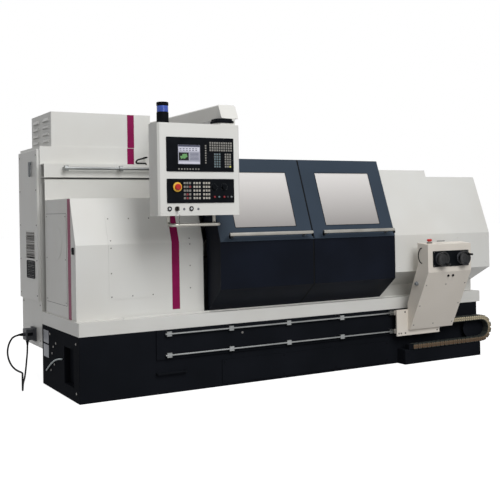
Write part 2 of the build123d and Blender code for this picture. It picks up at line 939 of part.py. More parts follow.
# Louvred box on the cabinet: air housing with slots in both end walls
box_x = (along(box_left), along(box_left + box_width))
box_y = (cabinet_y[0] + box_setback, cabinet_y[0] + box_setback + box_depth)
box_z = (cabinet_top, cabinet_top + box_height)
louvre_length = box_depth * louvre_length_share
louvre_pitch = box_height * louvre_pitch_share
with BuildPart() as louvred_box:
    block(box_x, box_y, box_z)
    chamfer(louvred_box.edges().filter_by(Axis.Z), edge_break)
    block(
        (box_x[0] + sheet, box_x[1] - sheet),
        (box_y[0] + sheet, box_y[1] - sheet),
        (box_z[0] - overrun, box_z[1] - sheet),
        Mode.SUBTRACT,
    )
    for row in range(louvre_rows):
        row_z = (box_z[0] + box_z[1]) / 2 + (row - (louvre_rows - 1) / 2) * louvre_pitch
        for column in range(louvre_columns):
            column_y = box_y[0] + box_depth * (2 * column + 1) / (2 * louvre_columns)
            block(
                (box_x[0] - overrun, box_x[1] + overrun),
                (column_y - louvre_length / 2, column_y + louvre_length / 2),
                (row_z - louvre_height / 2, row_z + louvre_height / 2),
                Mode.SUBTRACT,
            )
keep(louvred_box, "louvred_box")

# Boom post: flanged column on the cabinet's top, clear of the louvred box
post_x = along(post_from_left)
post_y = cabinet_y[0] + post_setback
with BuildPart() as boom_post:
    rod((post_x, post_y, cabinet_top), (0, 0, 1), post_flange_radius, post_flange_thick)
    rod((post_x, post_y, cabinet_top), (0, 0, 1), post_radius, post_height)
keep(boom_post, "boom_post")

# Boom: box arm that turns on the post, with a bevelled front end
boom_low = cabinet_top + post_height + run_gap
boom_x = (post_x - boom_width / 2, post_x + boom_width / 2)
boom_back = post_y + boom_tail
boom_front = behind(-boom_reach)
with BuildPart() as boom:
    prism(
        [
            (boom_back, boom_low),
            (boom_front, boom_low),
            (boom_front + boom_end_bevel, boom_low + boom_height),
            (boom_back, boom_low + boom_height),
        ],
        boom_x,
    )
    chamfer(boom.faces().sort_by(Axis.Z)[-1].edges().filter_by(Axis.Y), boom_edge)
keep(boom, "boom")

# Control panel housing, hung from the boom's end by a round swivel
panel_top = boom_low - run_gap - swivel_gap
panel_low = panel_top - panel_height
panel_x = (along(panel_left), along(panel_left + panel_width))
panel_face = behind(-panel_front_reach)
swivel_y = panel_face + panel_depth / 2
with BuildPart() as panel_housing:
    block(panel_x, (panel_face, panel_face + panel_depth), (panel_low, panel_top))
    chamfer(panel_housing.edges().filter_by(Axis.Z), panel_edge)
    rod((post_x, swivel_y, panel_top), (0, 0, 1), swivel_radius, swivel_gap)
keep(panel_housing, "panel_housing")

# Screen unit and machine keys unit on the panel's face
unit_x = (panel_x[0] + unit_inset, panel_x[0] + unit_inset + unit_width)
unit_y = (panel_face - unit_proud, panel_face)
screen_top = panel_top - screen_unit_drop
machine_top = panel_top - machine_unit_drop
with BuildPart() as screen_unit:
    block(unit_x, unit_y, (screen_top - screen_unit_height, screen_top))
    chamfer(screen_unit.edges().filter_by(Axis.Y), edge_break)
    block(
        (unit_x[0] + screen_left, unit_x[0] + screen_left + screen_width),
        (unit_y[0] - overrun, unit_y[0] + screen_deep),
        (screen_top - screen_drop - screen_height, screen_top - screen_drop),
        Mode.SUBTRACT,
    )
keep(screen_unit, "screen_unit")

stop_middle = (unit_x[0] + stop_from_left, machine_top - stop_drop)
with BuildPart() as machine_unit:
    block(unit_x, unit_y, (machine_top - machine_unit_height, machine_top))
    chamfer(machine_unit.edges().filter_by(Axis.Y), edge_break)
    rod((stop_middle[0], unit_y[0], stop_middle[1]), (0, -1, 0), stop_collar_radius, stop_collar_thick)
    rod(
        (stop_middle[0], panel_face, stop_middle[1]),
        (0, -1, 0),
        stop_stem_radius + run_gap,
        unit_proud + stop_collar_thick + overrun,
        Mode.SUBTRACT,
    )
keep(machine_unit, "machine_unit")


def key_grid(left, top, columns, rows, pitch_x, pitch_z, size):
    # Grid of square foil keys on the front of a unit, from its upper left key.
    for row in range(rows):
        for column in range(columns):
            key_left = left + column * pitch_x
            key_top = top - row * pitch_z
            block((key_left, key_left + size), (unit_y[0] - key_proud, unit_y[0]), (key_top - size, key_top))


# Keys of both units: foil key caps that stand on the black faces
with BuildPart() as control_keys:
    for place in range(machine_block_count):
        block_left = unit_x[0] + machine_block_left + place * machine_block_pitch
        key_grid(
            block_left,
            machine_top - machine_key_drop,
            machine_key_columns,
            machine_key_rows,
            machine_key_pitch_x,
            machine_key_pitch_z,
            machine_key,
        )
    letters_top = screen_top - letter_block_drop
    letters_left = unit_x[0] + letter_block_left
    key_grid(
        letters_left,
        letters_top,
        letter_key_columns,
        letter_key_rows,
        letter_key_pitch,
        letter_row_pitch,
        letter_key,
    )
    for block_left, columns in ((cursor_block_left, cursor_key_columns), (edit_block_left, edit_key_columns)):
        key_grid(
            unit_x[0] + block_left,
            screen_top - cursor_block_drop,
            columns,
            cursor_key_rows,
            letter_key_pitch,
            letter_row_pitch,
            letter_key,
        )
    soft_top = screen_top - screen_drop
    soft_pitch = screen_height / soft_key_count
    key_grid(unit_x[0] + soft_column_left, soft_top, 1, soft_key_count, soft_pitch, soft_pitch, soft_key)
    soft_row_pitch = screen_width / soft_key_count
    key_grid(
        unit_x[0] + screen_left,
        screen_top - soft_row_drop,
        soft_key_count,
        1,
        soft_row_pitch,
        soft_row_pitch,
        soft_key,
    )
keep(control_keys, "control_keys")


def mushroom(start, direction, stem_length, piece_name):
    # Emergency stop button: a stem in its collar's hole, with a mushroom cap that stands off the collar.
    with BuildPart() as button:
        rod(start, direction, stop_stem_radius, stem_length)
        cap_start = Vector(*start) + Vector(*direction) * stem_length
        rod(cap_start, direction, stop_cap_radius, stop_cap_thick)
        cap_end = button.faces().sort_by(Axis(start, direction))[-1]
        chamfer(cap_end.edges(), stop_cap_thick * cap_bevel_share)
    keep(button, piece_name)


mushroom(
    (stop_middle[0], panel_face - stop_travel - run_gap, stop_middle[1]),
    (0, -1, 0),
    unit_proud + stop_collar_thick,
    "panel_stop",
)


def override_dial(middle_x, piece_name):
    # Rotary override switch: round knob with a raised pointer bar.
    with BuildPart() as dial:
        start_y = unit_y[0] - run_gap
        middle_z = machine_top - dial_drop
        rod((middle_x, start_y, middle_z), (0, -1, 0), dial_radius, dial_thick)
        chamfer(dial.faces().sort_by(Axis.Y)[0].edges(), edge_break)
        block(
            (middle_x - dial_pointer, middle_x + dial_pointer),
            (start_y - dial_thick - dial_pointer, start_y - dial_thick),
            (middle_z, middle_z + dial_radius - edge_break),
        )
    keep(dial, piece_name)


override_dial(unit_x[0] + dial_from_left, "spindle_dial")
override_dial(unit_x[0] + dial_from_left + dial_pitch, "feed_dial")

# Key switch on the panel's lower strip, with its key in
key_middle = (panel_x[0] + key_from_left, panel_low + key_rise)
with BuildPart() as key_switch:
    key_face = panel_face - run_gap
    rod((key_middle[0], key_face, key_middle[1]), (0, -1, 0), key_collar_radius, key_collar_thick)
    bow_start = key_face - key_collar_thick
    block(
        (key_middle[0] - key_bow_width / 2, key_middle[0] + key_bow_width / 2),
        (bow_start - key_bow_length, bow_start),
        (key_middle[1] - key_bow_height / 2, key_middle[1] + key_bow_height / 2),
    )
keep(key_switch, "key_switch")

# Panel handle: bent round bar under the housing
handle_y = panel_face + panel_handle_setback
handle_left = panel_x[0] + panel_handle_left
handle_right = handle_left + panel_handle_width
handle_back = handle_y + panel_handle_reach
handle_z = panel_low - panel_handle_drop
with BuildPart() as panel_handle:
    with BuildLine():
        FilletPolyline(
            (handle_left, handle_back, panel_low),
            (handle_left, handle_back, handle_z),
            (handle_left, handle_y, handle_z),
            (handle_right, handle_y, handle_z),
            (handle_right, handle_back, handle_z),
            (handle_right, handle_back, panel_low),
            radius=panel_handle_corner,
        )
    with BuildSketch(Plane((handle_left, handle_back, panel_low), z_dir=(0, 0, -1))):
        Circle(panel_handle_radius)
    sweep()
keep(panel_handle, "panel_handle")

# Signal lamp on the panel's top: base, lens and cap as one turned outline
lamp_profile = [
    (0, 0),
    (lamp_radius, 0),
    (lamp_radius, lamp_base_height - lamp_groove),
    (lamp_radius - lamp_groove, lamp_base_height),
    (lamp_radius - lamp_groove, lamp_base_height + lamp_lens_height),
    (lamp_radius, lamp_base_height + lamp_lens_height + lamp_groove),
    (lamp_radius, lamp_base_height + lamp_lens_height + lamp_cap_height - lamp_groove),
    (lamp_radius - lamp_groove, lamp_base_height + lamp_lens_height + lamp_cap_height),
    (0, lamp_base_height + lamp_lens_height + lamp_cap_height),
]
with BuildPart() as signal_lamp:
    lamp_foot = (panel_x[0] + lamp_from_left, panel_face + lamp_setback, panel_top)
    with BuildSketch(Plane(lamp_foot, x_dir=(1, 0, 0), z_dir=(0, -1, 0))):
        with BuildLine():
            Polyline(*lamp_profile, close=True)
        make_face()
    revolve(axis=Axis(lamp_foot, (0, 0, 1)))
keep(signal_lamp, "signal_lamp")

# Console carriage: plate with four grooved shoes that run on the front of the rails
shoe_back = behind(-rail_reach)
plate_back = behind(-rail_reach - rail_radius - console_plate_gap)
plate_front = plate_back - console_plate_thick
plate_x = (along(console_plate_left), along(console_plate_left + console_plate_width))
with BuildPart() as console_carriage:
    block(plate_x, (plate_front, plate_back), (console_plate_bottom, console_plate_top))
    for rail_height in (upper_rail_height, lower_rail_height):
        for shoe_left in (plate_x[0] + shoe_inset, plate_x[1] - shoe_inset - shoe_length):
            block(
                (shoe_left, shoe_left + shoe_length),
                (plate_back, behind(-rail_reach - bracket_lap - run_gap)),
                (rail_height - shoe_height / 2, rail_height + shoe_height / 2),
            )
        rod(
            (plate_x[0] - overrun, behind(-rail_reach), rail_height),
            (1, 0, 0),
            rail_radius + run_gap,
            console_plate_width + 2 * overrun,
            Mode.SUBTRACT,
        )
    block(
        (plate_x[1], chain_bend_x - chain_upper_links * chain_pitch),
        (plate_front, chain_back),
        (chain_high - chain_height / 2, chain_high + chain_height / 2),
    )
keep(console_carriage, "console_carriage")

# Console stand: leaning pedestal and wedge-shaped head, folded as one section
stand_x = (along(console_left), along(console_left + console_width))
head_front = behind(-head_reach)
console_stop_share = console_stop_setback / (head_reach - head_back_reach)
console_stop = Vector(
    stand_x[0] + console_stop_left,
    head_front + console_stop_setback,
    head_top + head_back_rise * console_stop_share,
)
with BuildPart() as console_stand:
    prism(
        [
            (plate_front, stand_bottom),
            (behind(-stand_bottom_reach), stand_bottom),
            (head_front, stand_waist),
            (head_front, head_top),
            (behind(-head_back_reach), head_top + head_back_rise),
            (behind(-head_back_reach), head_back_bottom),
            (plate_front, stand_foot_height),
        ],
        stand_x,
    )
    rod(console_stop - Vector(0, 0, overrun), (0, 0, 1), console_collar_radius, console_stop_base + overrun)
    rod(console_stop, (0, 0, 1), stop_stem_radius + run_gap, console_stop_base + overrun, Mode.SUBTRACT)
keep(console_stand, "console_stand")

# Console face: black plate for the handwheels
face_x = (stand_x[0] + face_left, stand_x[0] + face_left + face_width)
face_front = head_front - face_thick
with BuildPart() as console_face:
    block(face_x, (face_front, head_front), (face_bottom, face_bottom + face_height))
    chamfer(console_face.edges().filter_by(Axis.Y), edge_break)
keep(console_face, "console_face")


def handwheel(middle_x, grip_angle, piece_name):
    # Dished handwheel with a hub, a thin web, a rim and a crank grip.
    start = Vector(middle_x, face_front - run_gap, wheel_height)
    rim_out = wheel_hub_length + wheel_dish
    profile = [
        (0, 0),
        (wheel_hub_radius, 0),
        (wheel_hub_radius, wheel_hub_length - wheel_web),
        (wheel_radius - wheel_rim, rim_out - wheel_web - wheel_rim),
        (wheel_radius, rim_out - wheel_rim),
        (wheel_radius, rim_out),
        (wheel_radius - wheel_rim, rim_out),
        (wheel_radius - wheel_rim - wheel_web, rim_out - wheel_rim),
        (wheel_hub_radius, wheel_hub_length),
        (0, wheel_hub_length),
    ]
    with BuildPart() as wheel:
        with BuildSketch(Plane(start, x_dir=(1, 0, 0), z_dir=(0, 0, 1))) as section:
            with BuildLine():
                Polyline(*[(radius, -out) for radius, out in profile], close=True)
            make_face()
        revolve(section.sketch, axis=Axis(start, (0, 1, 0)))
        grip_place = Vector(wheel_radius - wheel_rim, 0, 0).rotate(Axis.Y, -grip_angle)
        rod(start + grip_place + Vector(0, -rim_out + wheel_rim, 0), (0, -1, 0), grip_radius, grip_length)
    keep(wheel, piece_name)


handwheel(stand_x[0] + wheel_first, grip_angle_left, "left_handwheel")
handwheel(stand_x[0] + wheel_first + wheel_pitch, grip_angle_right, "right_handwheel")

# Console stop button in the collar on the head's top
mushroom(console_stop + Vector(0, 0, stop_travel + run_gap), (0, 0, 1), console_stop_base, "console_stop")


def chain_link(middle, turn):
    # One hollow link: six-sided side plates that taper so the chain can bend, open along its length.
    half = chain_pitch / 2 - run_gap / 2
    inner = half - chain_height / 2 * tan(chain_half_turn) - run_gap
    plane = Plane(middle, x_dir=(cos(radians(turn)), 0, sin(radians(turn))), z_dir=(0, -1, 0))
    with BuildSketch(plane) as side:
        with BuildLine():
            Polyline(
                (half, 0),
                (inner, chain_height / 2),
                (-inner, chain_height / 2),
                (-half, 0),
                (-inner, -chain_height / 2),
                (inner, -chain_height / 2),
                close=True,
            )
        make_face()
    extrude(side.sketch, amount=chain_width)
    with BuildSketch(plane.offset(chain_wall)) as hollow:
        Rectangle(chain_pitch + overrun, chain_height - 2 * chain_wall)
    extrude(hollow.sketch, amount=chain_width - 2 * chain_wall, mode=Mode.SUBTRACT)


# Energy chain: a lower run on the shelf, a half-round bend and an upper run to the console
with BuildPart() as chain_lower:
    for place in range(chain_lower_links):
        link_x = chain_bend_x - (place + 1 / 2) * chain_pitch
        chain_link((link_x, chain_back, chain_low), 0)
keep(chain_lower, "chain_lower")

with BuildPart() as chain_bend:
    for place in range(chain_bend_links):
        turn = 180 * (place + 1 / 2) / chain_bend_links
        spoke = Vector(0, 0, -chain_pitch / 2 / tan(chain_half_turn)).rotate(Axis.Y, -turn)
        chain_link(Vector(chain_bend_x, chain_back, chain_low + chain_radius) + spoke, turn)
keep(chain_bend, "chain_bend")

with BuildPart() as chain_upper:
    for place in range(chain_upper_links):
        link_x = chain_bend_x - (place + 1 / 2) * chain_pitch
        chain_link((link_x, chain_back, chain_high), 0)
keep(chain_upper, "chain_upper")

# Headstock: portal casting over the motor, bored for the spindle
spindle_y = behind(spindle_behind)
headstock_x = (along(headstock_left), along(cover_right - sheet - headstock_gap))
headstock_y = (spindle_y - headstock_width / 2, spindle_y + headstock_width / 2)
headstock_top = deck + headstock_top_rise
portal_top = deck + headstock_portal_rise
with BuildPart() as headstock:
    prism(
        [
            (headstock_y[0], deck),
            (headstock_y[0], headstock_top - headstock_bevel),
            (headstock_y[0] + headstock_bevel, headstock_top),
            (headstock_y[1] - headstock_bevel, headstock_top),
            (headstock_y[1], headstock_top - headstock_bevel),
            (headstock_y[1], deck),
            (headstock_y[1] - headstock_leg, deck),
            (headstock_y[1] - headstock_leg, portal_top),
            (headstock_y[0] + headstock_leg, portal_top),
            (headstock_y[0] + headstock_leg, deck),
        ],
        headstock_x,
    )
    rod(
        (headstock_x[0] - overrun, spindle_y, spindle_height),
        (1, 0, 0),
        spindle_radius + run_gap,
        headstock_x[1] - headstock_x[0] + 2 * overrun,
        Mode.SUBTRACT,
    )
keep(headstock, "headstock")

# Spindle: hollow shaft with its belt pulley at the rear and a flanged nose
pulley_right = headstock_x[0] - pulley_gap
pulley_left = pulley_right - pulley_width
nose_left = headstock_x[1] + run_gap
nose_right = along(cover_right + nose_gap)
with BuildPart() as spindle:
    with BuildSketch(Plane((0, spindle_y, spindle_height), x_dir=(1, 0, 0), z_dir=(0, -1, 0))):
        with BuildLine():
            Polyline(
                (pulley_left, spindle_bore_radius),
                (pulley_left, spindle_pulley_radius),
                (pulley_right, spindle_pulley_radius),
                (pulley_right, spindle_radius),
                (nose_left, spindle_radius),
                (nose_left, nose_radius - nose_thick),
                (nose_right - nose_thick, nose_radius - nose_thick),
                (nose_right - nose_thick, nose_radius),
                (nose_right, nose_radius),
                (nose_right, spindle_bore_radius),
                close=True,
            )
        make_face()
    revolve(axis=Axis((0, spindle_y, spindle_height), (1, 0, 0)))
keep(spindle, "spindle")

# Chuck: turned body with three radial jaw slots
chuck_right = nose_right + chuck_thick
slot_bottom = chuck_right - jaw_slot_depth
with BuildPart() as chuck:
    with BuildSketch(Plane((0, spindle_y, spindle_height), x_dir=(1, 0, 0), z_dir=(0, -1, 0))):
        with BuildLine():
            Polyline(
                (nose_right, spindle_bore_radius),
                (nose_right, chuck_radius - chuck_bevel),
                (nose_right + chuck_bevel, chuck_radius),
                (chuck_right - chuck_bevel, chuck_radius),
                (chuck_right, chuck_radius - chuck_bevel),
                (chuck_right, spindle_bore_radius),
                close=True,
            )
        make_face()
    revolve(axis=Axis((0, spindle_y, spindle_height), (1, 0, 0)))
    with BuildSketch(Plane((slot_bottom, spindle_y, spindle_height), x_dir=(0, 0, 1), z_dir=(1, 0, 0))):
        with PolarLocations(chuck_radius / 2, 3):
            Rectangle(chuck_radius + overrun, jaw_width + 2 * run_gap)
    extrude(amount=jaw_slot_depth + overrun, mode=Mode.SUBTRACT)
keep(chuck, "chuck")

# Jaws: three stepped jaws in the chuck's slots
for place in range(3):
    with BuildPart() as jaw:
        jaw_turn = radians(120 * place)
        jaw_foot = (slot_bottom + run_gap, spindle_y, spindle_height)
        jaw_plane = Plane(jaw_foot, x_dir=(0, -sin(jaw_turn), cos(jaw_turn)), z_dir=(1, 0, 0))
        with BuildSketch(jaw_plane):
            with Locations((jaw_inner + jaw_length / 2, 0)):
                Rectangle(jaw_length, jaw_width)
        extrude(amount=jaw_slot_depth + jaw_proud)
        with BuildSketch(jaw_plane.offset(jaw_slot_depth + jaw_proud / 2)):
            with Locations((jaw_inner + jaw_length - jaw_step / 2, 0)):
                Rectangle(jaw_step + overrun, jaw_width + overrun)
        extrude(amount=jaw_proud, mode=Mode.SUBTRACT)
    keep(jaw, f"jaw_{place + 1}")

# Spindle motor in the headstock's portal, its pulley and the drive belt
motor_height = deck + motor_rise
with BuildPart() as spindle_motor:
    rod((headstock_x[0], spindle_y, motor_height), (1, 0, 0), motor_radius, motor_length)
    block(
        (headstock_x[0], headstock_x[0] + motor_length),
        (spindle_y - motor_foot_width / 2, spindle_y + motor_foot_width / 2),
        (deck, motor_height),
    )
keep(spindle_motor, "spindle_motor")

with BuildPart() as motor_pulley:
    rod((pulley_left, spindle_y, motor_height), (1, 0, 0), motor_pulley_radius, pulley_width)
    shaft_length = headstock_x[0] - run_gap - pulley_left
    rod((pulley_left, spindle_y, motor_height), (1, 0, 0), motor_shaft_radius, shaft_length)
keep(motor_pulley, "motor_pulley")

belt_inset = pulley_width * belt_inset_share
belt_drop = spindle_height - motor_height
with BuildPart() as drive_belt:
    for extra, mode in ((belt_thick, Mode.ADD), (run_gap, Mode.SUBTRACT)):
        high_radius = spindle_pulley_radius + extra
        low_radius = motor_pulley_radius + extra
        lean = (high_radius - low_radius) / belt_drop
        flat = sqrt(1 - lean * lean)
        with BuildSketch(Plane.YZ.offset(pulley_left + belt_inset)) as loop:
            with Locations((spindle_y, spindle_height)):
                Circle(high_radius)
            with Locations((spindle_y, motor_height)):
                Circle(low_radius)
            with BuildLine():
                Polyline(
                    (spindle_y - flat * high_radius, spindle_height + lean * high_radius),
                    (spindle_y + flat * high_radius, spindle_height + lean * high_radius),
                    (spindle_y + flat * low_radius, motor_height + lean * low_radius),
                    (spindle_y - flat * low_radius, motor_height + lean * low_radius),
                    close=True,
                )
            make_face()
        extrude(loop.sketch, amount=pulley_width - 2 * belt_inset, mode=mode)
keep(drive_belt, "drive_belt")

# Bed: waisted casting with two flat ways, standing in the tray's pocket
bed_x = (along(pocket_left + bed_gap), along(base_length - bed_right_margin))
bed_y = (spindle_y - bed_width / 2, spindle_y + bed_width / 2)
bed_foot = base_height + pocket_floor
way_low = way_top - way_height
waist = bed_width * bed_waist_share / 2
with BuildPart() as bed:
    prism(
        [
            (bed_y[0], bed_foot),
            (bed_y[0], bed_foot + bed_foot_height),
            (spindle_y - waist, bed_foot + 2 * bed_foot_height),
            (spindle_y - waist, way_low - bed_foot_height),
            (bed_y[0], way_low),
            (bed_y[0], way_top),
            (bed_y[0] + way_width, way_top),
            (bed_y[0] + way_width, way_low),
            (bed_y[1] - way_width, way_low),
            (bed_y[1] - way_width, way_top),
            (bed_y[1], way_top),
            (bed_y[1], way_low),
            (spindle_y + waist, way_low - bed_foot_height),
            (spindle_y + waist, bed_foot + 2 * bed_foot_height),
            (bed_y[1], bed_foot + bed_foot_height),
            (bed_y[1], bed_foot),
        ],
        bed_x,
    )
keep(bed, "bed")

# Saddle: bridge on the ways with a front apron
saddle_x = (along(saddle_left), along(saddle_left + saddle_length))
saddle_y = (spindle_y - saddle_width / 2, spindle_y + saddle_width / 2)
saddle_low = way_top + run_gap
saddle_top = saddle_low + saddle_thick
with BuildPart() as saddle:
    block(saddle_x, saddle_y, (saddle_low, saddle_top))
    block(
        saddle_x,
        (saddle_y[0], saddle_y[0] + apron_thick),
        (saddle_low - apron_drop, saddle_low),
    )
keep(saddle, "saddle")

# Cross slide with the turret housing at its back
cross_x = (saddle_x[0] + (saddle_length - cross_length) / 2, saddle_x[0] + (saddle_length + cross_length) / 2)
cross_y = (spindle_y - cross_width / 2, spindle_y + cross_width / 2)
cross_low = saddle_top + run_gap
cross_top = cross_low + cross_thick
turret_y = spindle_y + turret_setback
housing_x = (cross_x[1] - turret_housing_length, cross_x[1])
with BuildPart() as cross_slide:
    prism(
        [
            (cross_y[0] + cross_dovetail, cross_low),
            (cross_y[0], cross_low + cross_dovetail),
            (cross_y[0], cross_top),
            (cross_y[1], cross_top),
            (cross_y[1], cross_low),
        ],
        cross_x,
    )
    block(
        housing_x,
        (turret_y - turret_housing_width / 2, turret_y + turret_housing_width / 2),
        (cross_top, spindle_height + turret_housing_width / 2),
    )
keep(cross_slide, "cross_slide")

# Turret disc with square tool stations round it
disc_right = housing_x[0] - run_gap
with BuildPart() as turret:
    with BuildSketch(Plane.YZ.offset(disc_right - turret_disc_thick)):
        with Locations((turret_y, spindle_height)):
            RegularPolygon(turret_disc_radius, turret_stations)
    extrude(amount=turret_disc_thick)
    with BuildSketch(Plane.YZ.offset(disc_right - turret_disc_thick / 2)):
        with Locations((turret_y, spindle_height)):
            with PolarLocations(turret_disc_radius, turret_stations, start_angle=180 / turret_stations):
                Rectangle(tool_reach, tool_width)
    extrude(amount=tool_width / 2, both=True)
    rod(
        (disc_right - turret_disc_thick, turret_y, spindle_height),
        (-1, 0, 0),
        turret_cap_radius,
        turret_cap_thick,
    )
keep(turret, "turret")

# Tailstock: body on the ways with a round barrel
tail_x = (along(tail_body_left), along(tail_body_left + tail_body_length))
with BuildPart() as tailstock:
    prism(
        [
            (bed_y[0], way_top + run_gap),
            (bed_y[0], way_top + run_gap + way_height),
            (spindle_y - tail_body_width / 2, spindle_height),
            (spindle_y + tail_body_width / 2, spindle_height),
            (bed_y[1], way_top + run_gap + way_height),
            (bed_y[1], way_top + run_gap),
        ],
        tail_x,
    )
    rod((tail_x[0], spindle_y, spindle_height), (1, 0, 0), tail_barrel_radius, tail_body_length)
    rod(
        (tail_x[0] - overrun, spindle_y, spindle_height),
        (1, 0, 0),
        quill_radius + run_gap,
        tail_body_length - tail_barrel_radius,
        Mode.SUBTRACT,
    )
keep(tailstock, "tailstock")

# Quill with its centre point
quill_back = tail_x[0] + tail_body_length / 2
quill_front = tail_x[0] - quill_out
with BuildPart() as quill:
    with BuildSketch(Plane((0, spindle_y, spindle_height), x_dir=(1, 0, 0), z_dir=(0, -1, 0))):
        with BuildLine():
            Polyline(
                (quill_back, 0),
                (quill_back, quill_radius),
                (quill_front, quill_radius),
                (quill_front, center_radius),
                (quill_front - center_radius, center_radius),
                (quill_front - center_length, 0),
                close=True,
            )
        make_face()
    revolve(axis=Axis((0, spindle_y, spindle_height), (1, 0, 0)))
keep(quill, "quill")

# Mains connector: flange and hood on the cabinet's left wall, with two cable glands
plug_y = (cabinet_y[0] + plug_setback, cabinet_y[0] + plug_setback + plug_width)
plug_z = (cabinet_bottom + plug_rise, cabinet_bottom + plug_rise + plug_height)
hood_left = along(-plug_flange - plug_hood_reach)
hood_middle = (along(-plug_flange) + hood_left) / 2
plug_middle_y = (plug_y[0] + plug_y[1]) / 2
gland_y = plug_y[0] + gland_setback
plug_middle_z = (plug_z[0] + plug_z[1]) / 2
with BuildPart() as mains_connector:
    block((along(-plug_flange), along(0)), plug_y, plug_z)
    block(
        (hood_left, along(-plug_flange)),
        (plug_y[0] + plug_hood_inset, plug_y[1] - plug_hood_inset),
        (plug_z[0] + plug_hood_inset, plug_z[1] - plug_hood_inset),
    )
    chamfer(mains_connector.faces().sort_by(Axis.X)[0].edges(), edge_break)
    rod((hood_left, plug_middle_y, plug_middle_z), (-1, 0, 0), gland_radius, gland_length)
    rod((hood_middle, gland_y, plug_z[0] + plug_hood_inset), (0, 0, -1), gland_radius, gland_length)
keep(mains_connector, "mains_connector")

# Mains cord: hangs from the lower gland, runs on the floor, turns up and back to the side gland
cord_start = Vector(hood_middle, gland_y, plug_z[0] + plug_hood_inset - gland_length)
cord_end = Vector(hood_left - gland_length, plug_middle_y, plug_middle_z)
cord_points = [cord_start, cord_start - Vector(0, 0, cord_drop)]
cord_points += [Vector(along(x), behind(y), z) for x, y, z in cord_route]
cord_points += [cord_end - Vector(cord_lead, 0, 0), cord_end]
cord_corners = []
for before, corner, after in zip(cord_points, cord_points[1:], cord_points[2:]):
    half_turn = radians((corner - before).get_angle(after - corner)) / 2
    shorter = min((corner - before).length, (after - corner).length)
    cord_corners.append(cord_corner_share * shorter / tan(half_turn))
print("cord corner radii", [round(corner) for corner in cord_corners])
with BuildPart() as mains_cord:
    with BuildLine() as cord_path:
        FilletPolyline(*cord_points, radius=cord_corners)
    with BuildSketch(Plane(cord_points[0], z_dir=cord_points[1] - cord_points[0])):
        Circle(cord_radius)
    sweep()
    print("cord length", round(cord_path.wires()[0].length))
keep(mains_cord, "mains_cord")

# Hooked door cable: leaves the cabinet, turns back on itself and enters the beam's top
hook_x = along(hook_from_left)
hook_z = cabinet_top - hook_drop
beam_top = beam_low + beam_height
with BuildPart() as door_cable:
    with BuildLine() as hook_path:
        FilletPolyline(
            (hook_x, behind(base_depth), hook_z),
            (hook_x, behind(base_depth - hook_reach), hook_z),
            (hook_x - hook_side, behind(base_depth - hook_reach), hook_z - hook_step),
            (hook_x - hook_side, behind(base_depth - hook_back), hook_z - 2 * hook_step),
            (hook_x, behind(base_depth - hook_back), hook_z - 2 * hook_step),
            (hook_x, behind(base_depth - hook_back), beam_top),
            radius=[hook_corner, hook_corner, hook_corner, hook_end_corner],
        )
    with BuildSketch(Plane((hook_x, behind(base_depth), hook_z), z_dir=(0, -1, 0))):
        Circle(hook_radius)
    sweep()
keep(door_cable, "door_cable")
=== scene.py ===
import math

import bmesh
import bpy
import numpy as np
from mathutils import Matrix, Vector


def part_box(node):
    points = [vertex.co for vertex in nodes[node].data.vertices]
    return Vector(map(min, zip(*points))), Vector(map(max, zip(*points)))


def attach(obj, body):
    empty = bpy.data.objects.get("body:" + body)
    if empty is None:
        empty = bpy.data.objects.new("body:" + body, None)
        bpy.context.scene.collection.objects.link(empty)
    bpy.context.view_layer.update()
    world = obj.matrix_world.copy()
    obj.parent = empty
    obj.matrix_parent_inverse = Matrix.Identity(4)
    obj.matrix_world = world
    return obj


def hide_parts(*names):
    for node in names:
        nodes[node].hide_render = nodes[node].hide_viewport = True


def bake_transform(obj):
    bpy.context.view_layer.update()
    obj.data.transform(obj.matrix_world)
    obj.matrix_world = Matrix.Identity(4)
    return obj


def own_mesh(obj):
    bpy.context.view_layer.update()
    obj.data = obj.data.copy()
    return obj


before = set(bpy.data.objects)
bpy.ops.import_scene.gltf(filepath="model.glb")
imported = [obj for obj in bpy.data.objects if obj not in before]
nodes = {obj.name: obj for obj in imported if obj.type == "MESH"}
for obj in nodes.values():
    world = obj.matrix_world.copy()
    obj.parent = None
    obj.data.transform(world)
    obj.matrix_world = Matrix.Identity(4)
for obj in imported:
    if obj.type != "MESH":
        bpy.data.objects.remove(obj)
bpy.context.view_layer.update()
print("frame loaded:", len(nodes), "nodes")

# All lengths below are millimetres in the CAD frame; meshes are written in metres.
mm = 0.001
toRight, toBack, toUp = np.eye(3)
toLeft, toFront = -toRight, -toBack


def span(node):
    # lowest and highest corner of a CAD node at rest
    low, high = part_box(node)
    return np.array(low) / mm, np.array(high) / mm


trayLow, trayHigh = span("chip_tray")


def spot(x, y, z):
    # a place measured from the base's front left corner on the floor
    return np.array([trayLow[0] + x, trayLow[1] + y, z], float)


# Meshes from grids of points

def addObject(name, data):
    made = bpy.data.objects.new(name, data)
    bpy.context.scene.collection.objects.link(made)
    return made


def mergeDoubles(mesh, turnOutward):
    edit = bmesh.new()
    edit.from_mesh(mesh)
    bmesh.ops.remove_doubles(edit, verts=edit.verts, dist=0.002 * mm)
    if turnOutward:
        bmesh.ops.recalc_face_normals(edit, faces=edit.faces)
    edit.to_mesh(mesh)
    edit.free()


